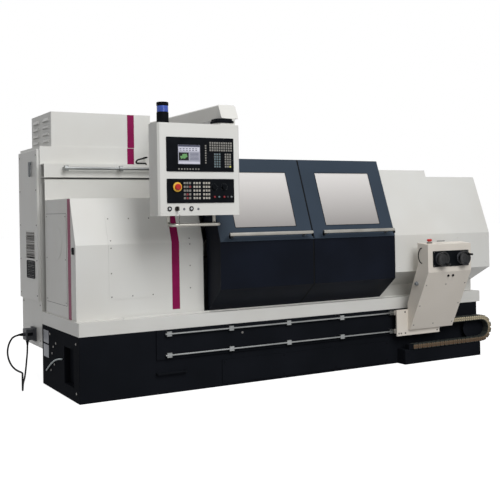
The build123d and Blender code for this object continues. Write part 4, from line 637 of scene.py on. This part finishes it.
modeSpots, functionSpots, axisSpots = (
    keySpots(machineLow[0] + keys["machineLeft"] + place * keys["blockPitch"], machineHigh[2] - keys["machineDrop"],
             3, 5, keys["machinePitchX"], keys["machinePitchZ"], keys["machineKey"])
    for place in range(3)
)
letterSpots = letterBlock(keys["letterLeft"], keys["letterDrop"], 10, 4)
cursorSpots = letterBlock(keys["cursorLeft"], keys["cursorDrop"], 3, 6)
editSpots = letterBlock(keys["editLeft"], keys["cursorDrop"], 3, 6)
redPlaces = [5, 10, 13]
machineCap, letterCap = keys["machineKey"] - keys["capGap"], keys["letterKey"] - keys["capGap"]
keyCaps("modeKeyCaps", np.delete(modeSpots, redPlaces, axis=0), machineCap, keyFoil)
keyCaps("modeKeyCapsRed", modeSpots[redPlaces], machineCap, keyRed)
keyCaps("functionKeyCaps", functionSpots, machineCap, keyWhite)
keyCaps("axisKeyCaps", axisSpots, machineCap, keyWhite)
keyCaps("letterKeyCaps", letterSpots, letterCap, keyFoil)
keyCaps("cursorKeyCaps", cursorSpots, letterCap, keyGreen)
keyCaps("editKeyCaps", editSpots[:-1], letterCap, keyFoil)
keyCaps("inputKeyCap", editSpots[-1:], letterCap, keyYellow)

stopLow, stopHigh = span("panel_stop")
stopMiddle = np.array([(stopLow[0] + stopHigh[0]) / 2, machineLow[1], (stopLow[2] + stopHigh[2]) / 2])
collar = [(13, 0), (31, 0), (31, 3), (29, 5.5), (22, 6.4), (13, 6.4), (13, 0)]
gridPiece("stopCollar", turned(stopMiddle, toFront, collar, sides=40), stopYellow, "panel")


def dialTicks(name, middle, radius, angles, size, body):
    # small round marks about a dial, clockwise from the top
    around = np.radians(angles)
    spots = middle + radius * np.column_stack([np.sin(around), around * 0, np.cos(around)])
    gridPiece(name, plates(spots, toRight, toUp, size, size, 0.3, size / 2 - 0.1, 0.1), greyAbs, body)


dialMark = {"rise": 17, "radius": 23, "size": 2, "angles": np.linspace(-135, 135, 11)}
for dial in ("spindle_dial", "feed_dial"):
    dialLow, dialHigh = span(dial)
    dialMiddle = np.array([(dialLow[0] + dialHigh[0]) / 2, machineLow[1], dialLow[2] + dialMark["rise"]])
    dialTicks(dial + "Ticks", dialMiddle, dialMark["radius"], dialMark["angles"], dialMark["size"], "panel")

lights = {"rise": 37, "radius": 5.5, "places": (335, 367, 405, 431, 458)}
buttonShape = np.array([(0, 0), (1.25, 0), (1.25, 0.3), (1, 0.5), (0.95, 0.9), (0.6, 1.1), (0, 1.15)])
lightFinishes = (keyRed, keyGreen, keyRed, darkAbs, greyAbs)
for place, offset in enumerate(lights["places"]):
    middle = [machineLow[0] + offset, machineLow[1], machineLow[2] + lights["rise"]]
    button = turned(middle, toFront, buttonShape * lights["radius"])
    gridPiece(f"panelButton{place + 1}", button, lightFinishes[place], "panel", smooth=True)

locks = {"rise": 45, "rosettes": (74, 227), "radius": 15, "slot": (2, 9, 0.3, 0.6, 0.1), "plugs": (176, 277),
         "plugRise": 42}
keyLow, keyHigh = span("key_switch")
lockShape = np.array([(0.55, 0), (1, 0), (1, 0.35), (0.9, 0.5), (0.6, 0.5), (0.55, 0.3), (0.55, 0)])
coreShape = np.array([(0, 0), (0.54, 0), (0.54, 0.42), (0.46, 0.48), (0, 0.48)])
lockSize = locks["radius"]
lockSpots = np.array([[panelLow[0] + x, panelFace, panelLow[2] + locks["rise"]] for x in locks["rosettes"]])
gridPiece("lockRings", turned(lockSpots, toFront, lockShape * lockSize, sides=32), blackAbs, "panel")
gridPiece("lockCores", turned(lockSpots, toFront, coreShape * lockSize), chromePlate, "panel")
slotSpots = lockSpots + coreShape[-1, 1] * lockSize * toFront
gridPiece("lockSlots", plates(slotSpots, toRight, toUp, *locks["slot"]), blackAbs, "panel")
plugSpots = [[panelLow[0] + x, panelFace, panelLow[2] + locks["plugRise"]] for x in locks["plugs"]]
plugProfile = [(0, 0), (8, 0), (8, 1.5), (6.5, 2.6), (4, 2.6), (3.2, 1.6), (0, 1.6)]
gridPiece("blindPlugs", turned(plugSpots, toFront, plugProfile), barePlate, "panel")
keyRing = {"back": 7, "drop": 8, "radius": 11, "wire": 1.1}
keyMiddle = np.array([(keyLow[0] + keyHigh[0]) / 2, keyLow[1] + keyRing["back"], keyLow[2] - keyRing["drop"]])
ringAngle = np.linspace(0, 2 * np.pi, 40)
ringPath = keyMiddle + keyRing["radius"] * np.column_stack([ringAngle * 0, np.sin(ringAngle), np.cos(ringAngle)])
gridPiece("keyRing", tube(ringPath, toRight, keyRing["wire"], sides=8), chromePlate, "key_switch",
          smooth=True)

keyChain = {"sway": 2.5, "waves": 9, "front": 9, "drop": 14, "length": 66, "wire": 1.6}
fall = np.linspace(0, 1, 60)
chainPath = keyMiddle + np.column_stack([
    keyChain["sway"] * np.sin(fall * keyChain["waves"]), 0 * fall - keyChain["front"],
    -keyChain["drop"] - keyChain["length"] * fall])
gridPiece("keyChain", tube(chainPath, toBack, keyChain["wire"], sides=8), brownedSteel, "panel",
          smooth=True)

lampLow, lampHigh = span("signal_lamp")
lamp = {"radius": 36.6, "low": 74.5, "high": 113.5, "ribs": 8, "rib": 0.9}
lampMiddle = np.array([(lampLow[0] + lampHigh[0]) / 2, (lampLow[1] + lampHigh[1]) / 2, lampLow[2]])
lensRise = np.linspace(lamp["low"], lamp["high"], 8 * lamp["ribs"] + 1)
ribTurn = lamp["ribs"] * np.pi * (lensRise - lamp["low"]) / (lamp["high"] - lamp["low"])
lensProfile = np.column_stack([lamp["radius"] + lamp["rib"] * np.abs(np.sin(ribTurn)), lensRise])
lensProfile = np.concatenate([[(0, lamp["low"])], lensProfile, [(0, lamp["high"])]])
gridPiece("lampLens", turned(lampMiddle, toUp, lensProfile, sides=48), blueLens, "panel", smooth=True)
lampRing = [(38.5, 8), (40.5, 9), (40.5, 14), (38.5, 15), (38.5, 8)]
gridPiece("lampRing", turned(lampMiddle, toUp, lampRing, sides=48), blackAbs, "panel")


def frontCorners(low, high, inset):
    # four places on a front face, one in each corner
    return [(x, low[1], z) for x in (low[0] + inset, high[0] - inset) for z in (low[2] + inset, high[2] - inset)]


panelScrew = {"radius": 4, "inset": 22, "rises": (22, 300, 581), "unitRadius": 3, "unitInset": 7}
panelScrews = [(x, panelFace, panelLow[2] + rise) for rise in panelScrew["rises"]
               for x in (panelLow[0] + panelScrew["inset"], panelHigh[0] - panelScrew["inset"])]
screwRow("panelScrews", panelScrews, toFront, panelScrew["radius"], "panel", finish=whiteCoat)
unitScrews = frontCorners(screenLow, screenHigh, panelScrew["unitInset"])
unitScrews += frontCorners(machineLow, machineHigh, panelScrew["unitInset"])
screwRow("unitScrews", unitScrews, toFront, panelScrew["unitRadius"], "panel", finish=blackAbs)
swivel = {"middle": (923, -265), "overScreen": 90, "width": 143, "deep": 130, "corner": 40, "bevel": 2}
swivelFoot = spot(*swivel["middle"], screenHigh[2] + swivel["overScreen"])
for name, finish, slot, rise, grow, thick in (("swivelCollar", whiteCoat, "white_paint", 0, -16, 17),
                                              ("swivelPlate", blackAbs, "black_plastic", 17, 0, 14),
                                              ("swivelFlange", blackAbs, "black_plastic", 32, -10, 13)):
    size = swivel["width"] + grow, swivel["deep"] + grow, thick
    gridPiece(name, plates(swivelFoot + rise * toUp, toRight, toBack, *size, swivel["corner"], swivel["bevel"]),
              finish, "panel")
print("control panel done")

# Console: handwheel dials, buttons, stop sleeve, top pull, gland, small cable and screws
standLow, standHigh = span("console_stand")
faceLow, faceHigh = span("console_face")
console = {"waist": 730, "foot": 272, "footFront": -110, "headFront": -335, "screw": 5, "screwXs": (22, 418),
           "screwShares": (0.08, 0.42, 0.78), "middleX": 220, "buttonXs": (214, 262), "buttonShare": 0.93,
           "faceScrew": 4, "faceInset": 9}
wheel = {"left": 2757, "right": 2975, "height": 832, "tickRadius": 42, "tick": 1.8, "angles": np.arange(0, 360, 15),
         "thick": 4, "dial": [(30, 0), (48, 0), (48, 2.5), (46, 4), (32, 4), (30, 2.5), (30, 0)]}
for side in ("left", "right"):
    wheelMiddle = np.array([trayLow[0] + wheel[side], faceLow[1], wheel["height"]])
    dial = turned(wheelMiddle, toFront, wheel["dial"], sides=48)
    gridPiece(side + "WheelDial", dial, darkAbs, "console")
    dialTicks(side + "WheelTicks", wheelMiddle + wheel["thick"] * toFront, wheel["tickRadius"], wheel["angles"],
              wheel["tick"], "console")
screwRow("consoleFaceScrews", frontCorners(faceLow, faceHigh, console["faceInset"]), toFront, console["faceScrew"],
         "console")
standSlope = np.array([0, console["headFront"] - console["footFront"], console["waist"] - console["foot"]], float)
standUp = standSlope / np.linalg.norm(standSlope)
standOut = np.cross(toRight, standUp)


def standPoint(x, share):
    # a point on the leaning front of the stand, by its share of the way up
    return [standLow[0] + x, trayLow[1] + console["footFront"], console["foot"]] + standSlope * share


buttonBase = [(0, 0), (10, 0), (10, 3), (9, 4), (7, 4), (7, 8), (6, 9), (0, 9)]
buttonSpots = [standPoint(x, console["buttonShare"]) for x in console["buttonXs"]]
gridPiece("consoleButtons", turned(buttonSpots, standOut, buttonBase), blackAbs, "console")
standScrews = [standPoint(x, share) for x in console["screwXs"] for share in console["screwShares"]]
standScrews += [standPoint(console["middleX"], share) for share in console["screwShares"][::2]]
screwRow("standScrews", standScrews, standOut, console["screw"], "console")
carriage = {"front": -87, "screw": 7, "places": ((2548, 247), (2570, 247), (2612, 247), (2612, 411), (2940, 247))}
carriageScrews = [spot(x, carriage["front"], z) for x, z in carriage["places"]]
screwRow("carriageScrews", carriageScrews, toFront, carriage["screw"], "console")
gland = {"front": -205, "height": 640,
         "profile": [(0, 0), (16, 0), (16, 8), (12, 9), (12, 20), (9, 22), (0, 22)]}
glandSpot = [standLow[0], trayLow[1] + gland["front"], gland["height"]]
gridPiece("consoleGland", turned(glandSpot, toLeft, gland["profile"]), greyAbs, "console")
loop = {"left": 6, "front": -262, "height": 858, "out": 18, "back": 20, "rise": 58, "radius": 4}
swing = np.linspace(0, np.pi, 24)
loopMiddle = np.array([standLow[0] - loop["left"], trayLow[1] + loop["front"] - loop["back"] / 2, loop["height"]])
loopPath = loopMiddle + np.column_stack(
    [-loop["out"] * np.sin(swing), loop["back"] * np.sin(swing), loop["rise"] * np.cos(swing)])
loopNormal = np.cross([-loop["out"], loop["back"], 0], toUp) / math.hypot(loop["out"], loop["back"])
gridPiece("consoleLoop", tube(loopPath, loopNormal, loop["radius"]), blackRubber, "console", smooth=True)
consoleStopLow, consoleStopHigh = span("console_stop")
stopX, stopY = ((consoleStopLow + consoleStopHigh) / 2)[:2]
stopSleeve = [(12, -1), (21, -1), (21, 3), (19, 5), (12, 5), (12, -1)]
gridPiece("consoleStopSleeve", turned([stopX, stopY, consoleStopLow[2]], toUp, stopSleeve, sides=32),
          blackAbs, "console")
topPull = {"left": 175, "plate": (78, 12, 5, 5, 1.5)}
topSlot = [standLow[0] + topPull["left"], stopY, standHigh[2]]
gridPiece("consoleTopPull", plates(topSlot, toRight, toBack, *topPull["plate"]), darkAbs, "console")
print("console done")

# Base: bare plates, bolts and a pale coolant tube on the left end, bolts and a pull on the front
bare = {"middle": 739, "rises": (250, 351), "plate": (128, 90, 1.2, 4)}
plateSpots = [spot(0, bare["middle"], rise) for rise in bare["rises"]]
gridPiece("endPlates", plates(plateSpots, toFront, toUp, *bare["plate"]), barePlate, "machine")
hose = {"out": -7, "back": 717, "run": -373, "low": 113, "rise": 132, "arch": 26, "radius": 5.5}
share = np.linspace(0, 1, 30)
hoseRise = hose["rise"] * share + hose["arch"] * np.sin(share * np.pi)
tubePath = spot(hose["out"], hose["back"], hose["low"]) + np.column_stack([0 * share, hose["run"] * share, hoseRise])
gridPiece("coolantTube", tube(tubePath, toLeft, hose["radius"]), paleHose, "machine", smooth=True)
bolts = {"end": ((640, 380), (560, 300), (590, 250), (500, 330), (540, 180), (620, 130), (60, 380), (60, 60)),
         "endRadius": 8, "rail": (1192, -10, 364), "railRadius": 9, "tankXs": (1050, 1540, 2000, 2490), "tankFront": -6,
         "tankRises": (36, 167), "tankRadius": 6}
endBolts = [spot(0, y, z) for y, z in bolts["end"]]
screwRow("baseEndBolts", endBolts, toLeft, bolts["endRadius"])
screwRow("railPlateBolts", [spot(*bolts["rail"])], toFront, bolts["railRadius"])
tankBolts = [spot(x, bolts["tankFront"], z) for x in bolts["tankXs"] for z in bolts["tankRises"]]
screwRow("tankBolts", tankBolts, toFront, bolts["tankRadius"], finish=blackAbs)
pull = {"middle": 640, "half": 105, "out": 26, "height": 140, "radius": 7, "over": 1.15, "bend": 6}
way = np.linspace(-pull["over"], pull["over"], 30)
pullOut = pull["out"] * np.clip(pull["bend"] * (pull["over"] - np.abs(way)), 0, 1)
pullPath = spot(pull["middle"], 0, pull["height"]) + np.column_stack(
    [pull["half"] * np.clip(way, -1, 1), -pullOut, 0 * way])
gridPiece("tankPull", tube(pullPath, toUp, pull["radius"]), blackAbs, "machine", smooth=True)
print("base trim done")

# Tailstock cover: screws along its front and its end
tail = {"screw": 5, "front": -118, "frontXs": np.linspace(2540, 3460, 4), "frontRises": (770, 980), "end": 3500,
        "endBacks": (-80, 220, 520, 720), "endRises": (740, 990)}
tailScrews = [spot(x, tail["front"], z) for x in tail["frontXs"] for z in tail["frontRises"]]
screwRow("tailCoverScrews", tailScrews, toFront, tail["screw"], finish=whiteCoat)
endScrews = [spot(tail["end"], y, z) for y in tail["endBacks"] for z in tail["endRises"]]
screwRow("tailEndScrews", endScrews, toRight, tail["screw"])

# Mains connector: latch and tapered cord reliefs
plugLow, plugHigh = span("mains_connector")
relief = [(6.9, 0), (12, 0), (11.5, 8), (9.5, 16), (8, 26), (7.2, 34), (6.9, 34), (6.9, 0)]
downExit = spot(-44.5, 1080, 283)
sideExit = spot(-87, 1045, 335)
gridPiece("cordReliefDown", turned(downExit, -toUp, relief), blackRubber, "machine", smooth=True)
gridPiece("cordReliefSide", turned(sideExit, toLeft, relief), blackRubber, "machine", smooth=True)
plugLatch = {"left": 42, "back": 10, "rise": 6, "plate": (40, 22, 5, 4, 1.5)}
latchMiddle = [plugLow[0] + plugLatch["left"], plugLow[1] + plugLatch["back"],
               (plugLow[2] + plugHigh[2]) / 2 + plugLatch["rise"]]
gridPiece("plugLatch", plates(latchMiddle, toRight, toUp, *plugLatch["plate"]), blackAbs, "machine")

# Mains cord: hangs from the lower gland, runs on the floor, turns up and back to the side gland
cord = {"length": 1.425, "diameter": 0.013}
cordRoute = [(-44.5, 1080, 283), (-44.5, 1080, 211), (-56, 1070, 130), (-74, 1030, 66), (-100, 962, 26),
             (-132, 880, 9), (-160, 780, 7), (-182, 700, 7), (-205.7, 610.8, 7), (-214.5, 578, 41),
             (-214.5, 578, 89), (-205.7, 610.8, 123), (-192.5, 660, 123), (-211, 750, 127), (-222, 840, 145),
             (-222, 940, 182), (-214, 1000, 232), (-190, 1036, 288), (-150, 1045, 335), (-87, 1045, 335)]
cordCurve = bpy.data.curves.new("mainsCord", "CURVE")
cordCurve.dimensions = "3D"
cordLine = cordCurve.splines.new("NURBS")
cordLine.points.add(len(cordRoute) - 1)
cordPoints = np.array([np.append(spot(*point) * mm, 1.0) for point in cordRoute])
cordLine.points.foreach_set("co", cordPoints.ravel())
cordLine.order_u = 3
cordLine.use_endpoint_u = True
cordLine.resolution_u = 12
cordCurve.bevel_depth = cord["diameter"] / 2
cordCurve.bevel_resolution = 4
cordCurve.use_fill_caps = True
cordCurve.materials.append(blackRubber)
mainsCord = addObject("mainsCord", cordCurve)
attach(mainsCord, "machine")
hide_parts("mains_cord")
print("cord done")


# Energy chain: merged copies of the two straight runs
def mergedCopy(name, node, finish):
    mesh = nodes[node].data.copy()
    mergeDoubles(mesh, False)
    copy = addObject(name, mesh)
    mesh.materials.clear()
    mesh.materials.append(finish)
    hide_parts(node)
    return copy


link = {"step": 23, "width": 18.5, "height": 31, "thick": 1.2, "corner": 6, "pin": 3.6}
pinProfile = [(0, 0), (link["pin"], 0), (link["pin"], 0.8), (link["pin"] - 1, 1.2), (0, 1.2)]
lowerLow, lowerHigh = span("chain_lower")
upperLow, upperHigh = span("chain_upper")


def linkSides(name, centres, across, up):
    # side plates and pins on the front of the links
    sides = plates(centres, across, up, link["width"], link["height"], link["thick"], link["corner"])
    pins = turned(centres + [0, -link["thick"], 0], toFront, pinProfile, sides=12)
    return [gridPiece(name + "Plates", sides, chainPlasticWithPaintedShade, None),
            gridPiece(name + "Pins", pins, linkAbs, None)]


def runSpots(low, high):
    # middles of the side plates along a straight run
    x = np.arange(low[0] + link["step"] / 2, high[0], link["step"])
    return np.column_stack([x, np.full(x.shape, low[1]), np.full(x.shape, (low[2] + high[2]) / 2)])


lowerRun = mergedCopy("chainLowerRun", "chain_lower", linkAbs)
for piece in [lowerRun] + linkSides("lowerLink", runSpots(lowerLow, lowerHigh), toRight, toUp):
    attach(piece, "machine")
    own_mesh(piece)
upperRun = mergedCopy("chainUpperRun", "chain_upper", linkAbs)
for piece in [upperRun] + linkSides("upperLink", runSpots(upperLow, upperHigh), toRight, toUp):
    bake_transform(piece)
bendTurn = np.radians(np.arange(7.5, 180, 15))[:, None]
bendMiddle = np.array([lowerHigh[0], lowerLow[1], (lowerLow[2] + upperHigh[2]) / 2])
outOfBend = np.sin(bendTurn) * toRight - np.cos(bendTurn) * toUp
alongBend = np.cos(bendTurn) * toRight + np.sin(bendTurn) * toUp
bendRadius = (upperLow[2] - lowerLow[2]) / 2 - 2
for piece in linkSides("bendLink", bendMiddle + bendRadius * outOfBend, alongBend, -outOfBend):
    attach(piece, "chain_bend")
guide = {"middle": (3385, -42, 222.9), "plate": (250, 156, 3, 78, 0.8), "posts": (3290, 3430), "post": 11}
guidePlate = plates(spot(*guide["middle"]), toRight, toUp, *guide["plate"])
gridPiece("chainGuide", guidePlate, blackCoat, "machine")
postSpots = [spot(x, 0, guide["middle"][2]) for x in guide["posts"]]
postLength = -guide["middle"][1]
postProfile = [(0, 0), (guide["post"], 0), (guide["post"], postLength), (0, postLength)]
gridPiece("chainGuidePosts", turned(postSpots, toFront, postProfile), blackCoat, "machine")
print("chain done")

# Floor, lights, background and camera

def shownRays(material):
    # 1 for the rays that show the background: camera, glossy and transmission
    ray = addNode(material, "ShaderNodeLightPath")
    seen = addNode(material, "ShaderNodeMath", {"operation": "MAXIMUM"},
                   {0: (ray, "Is Camera Ray"), 1: (ray, "Is Glossy Ray")})
    return addNode(material, "ShaderNodeMath", {"operation": "MAXIMUM"},
                   {0: (seen, "Value"), 1: (ray, "Is Transmission Ray")})


half = 40.0  # metres, half the floor's width
floorMesh = bpy.data.meshes.new("floor")
floorMesh.from_pydata([(-half, -half, 0), (half, -half, 0), (half, half, 0), (-half, half, 0)], [], [(0, 1, 2, 3)])
floor = addObject("floor", floorMesh)
floorPaint = bpy.data.materials.new("paleFloor")
floorPaint.use_nodes = True
floorPaint.node_tree.nodes.clear()
seen = shownRays(floorPaint)
glow = addNode(floorPaint, "ShaderNodeEmission", {"Color": (1, 1, 1, 1), "Strength": 0.93})
matte = addNode(floorPaint, "ShaderNodeBsdfDiffuse", {"Color": (0.34, 0.34, 0.34, 1)})
blank = addNode(floorPaint, "ShaderNodeEmission", {"Color": (0, 0, 0, 1), "Strength": 0.0})
lit = addNode(floorPaint, "ShaderNodeMixShader", None,
              {0: (seen, "Value"), 1: (blank, "Emission"), 2: (glow, "Emission")})
both = addNode(floorPaint, "ShaderNodeAddShader", None, {0: (lit, "Shader"), 1: (matte, "BSDF")})
addNode(floorPaint, "ShaderNodeOutputMaterial", None, {"Surface": (both, "Shader")})
floorMesh.materials.append(floorPaint)

world = bpy.data.worlds.new("studio")
bpy.context.scene.world = world
world.use_nodes = True
world.node_tree.nodes.clear()
worldSeen = shownRays(world)
skyShown = addNode(world, "ShaderNodeBackground", {"Color": (1, 1, 1, 1), "Strength": 1.0})
skyLight = addNode(world, "ShaderNodeBackground", {"Color": (0.98, 0.98, 1.0, 1), "Strength": 0.31})
skyMix = addNode(world, "ShaderNodeMixShader", None,
                 {0: (worldSeen, "Value"), 1: (skyLight, "Background"), 2: (skyShown, "Background")})
addNode(world, "ShaderNodeOutputWorld", None, {"Surface": (skyMix, "Shader")})


def softBox(name, place, target, power, size):
    lampData = bpy.data.lights.new(name, "AREA")
    lampData.energy, lampData.size = power, size
    lampObject = addObject(name, lampData)
    lampObject.location = place
    lampObject.rotation_euler = (Vector(target) - Vector(place)).to_track_quat("-Z", "Y").to_euler()


softBox("keyBox", (-0.4, -7.0, 5.2), (-0.4, 0, 1.4), 315, 4.0)
softBox("upperBox", (-1.4, -4.2, 5.4), (-1.2, 0.5, 1.7), 48, 2.0)
softBox("topBox", (0.5, 0.5, 7.0), (0, 0, 1.0), 120, 6.0)

view = {"place": (-3.4406, -5.6565, 1.2169), "yaw": 29.63, "pitch": 0.39, "roll": -0.98, "lens": 60.66,
        "shiftX": 0.0022, "shiftY": -0.0876}
yaw, pitch, roll = (math.radians(view[key]) for key in ("yaw", "pitch", "roll"))
forward = Vector((math.sin(yaw) * math.cos(pitch), math.cos(yaw) * math.cos(pitch), math.sin(pitch)))
level = Vector((math.cos(yaw), -math.sin(yaw), 0))
upright = level.cross(forward)
cameraRight = math.cos(roll) * level + math.sin(roll) * upright
cameraUp = -math.sin(roll) * level + math.cos(roll) * upright
cameraData = bpy.data.cameras.new("camera")
cameraData.sensor_width, cameraData.lens = 36, view["lens"]
cameraData.shift_x, cameraData.shift_y = view["shiftX"], view["shiftY"]
camera = addObject("camera", cameraData)
turn = Matrix((cameraRight, cameraUp, -forward)).transposed().to_4x4()
camera.matrix_world = Matrix.Translation(view["place"]) @ turn
bpy.context.scene.camera = camera
bpy.context.scene.view_settings.view_transform = "Standard"
print("stage done")
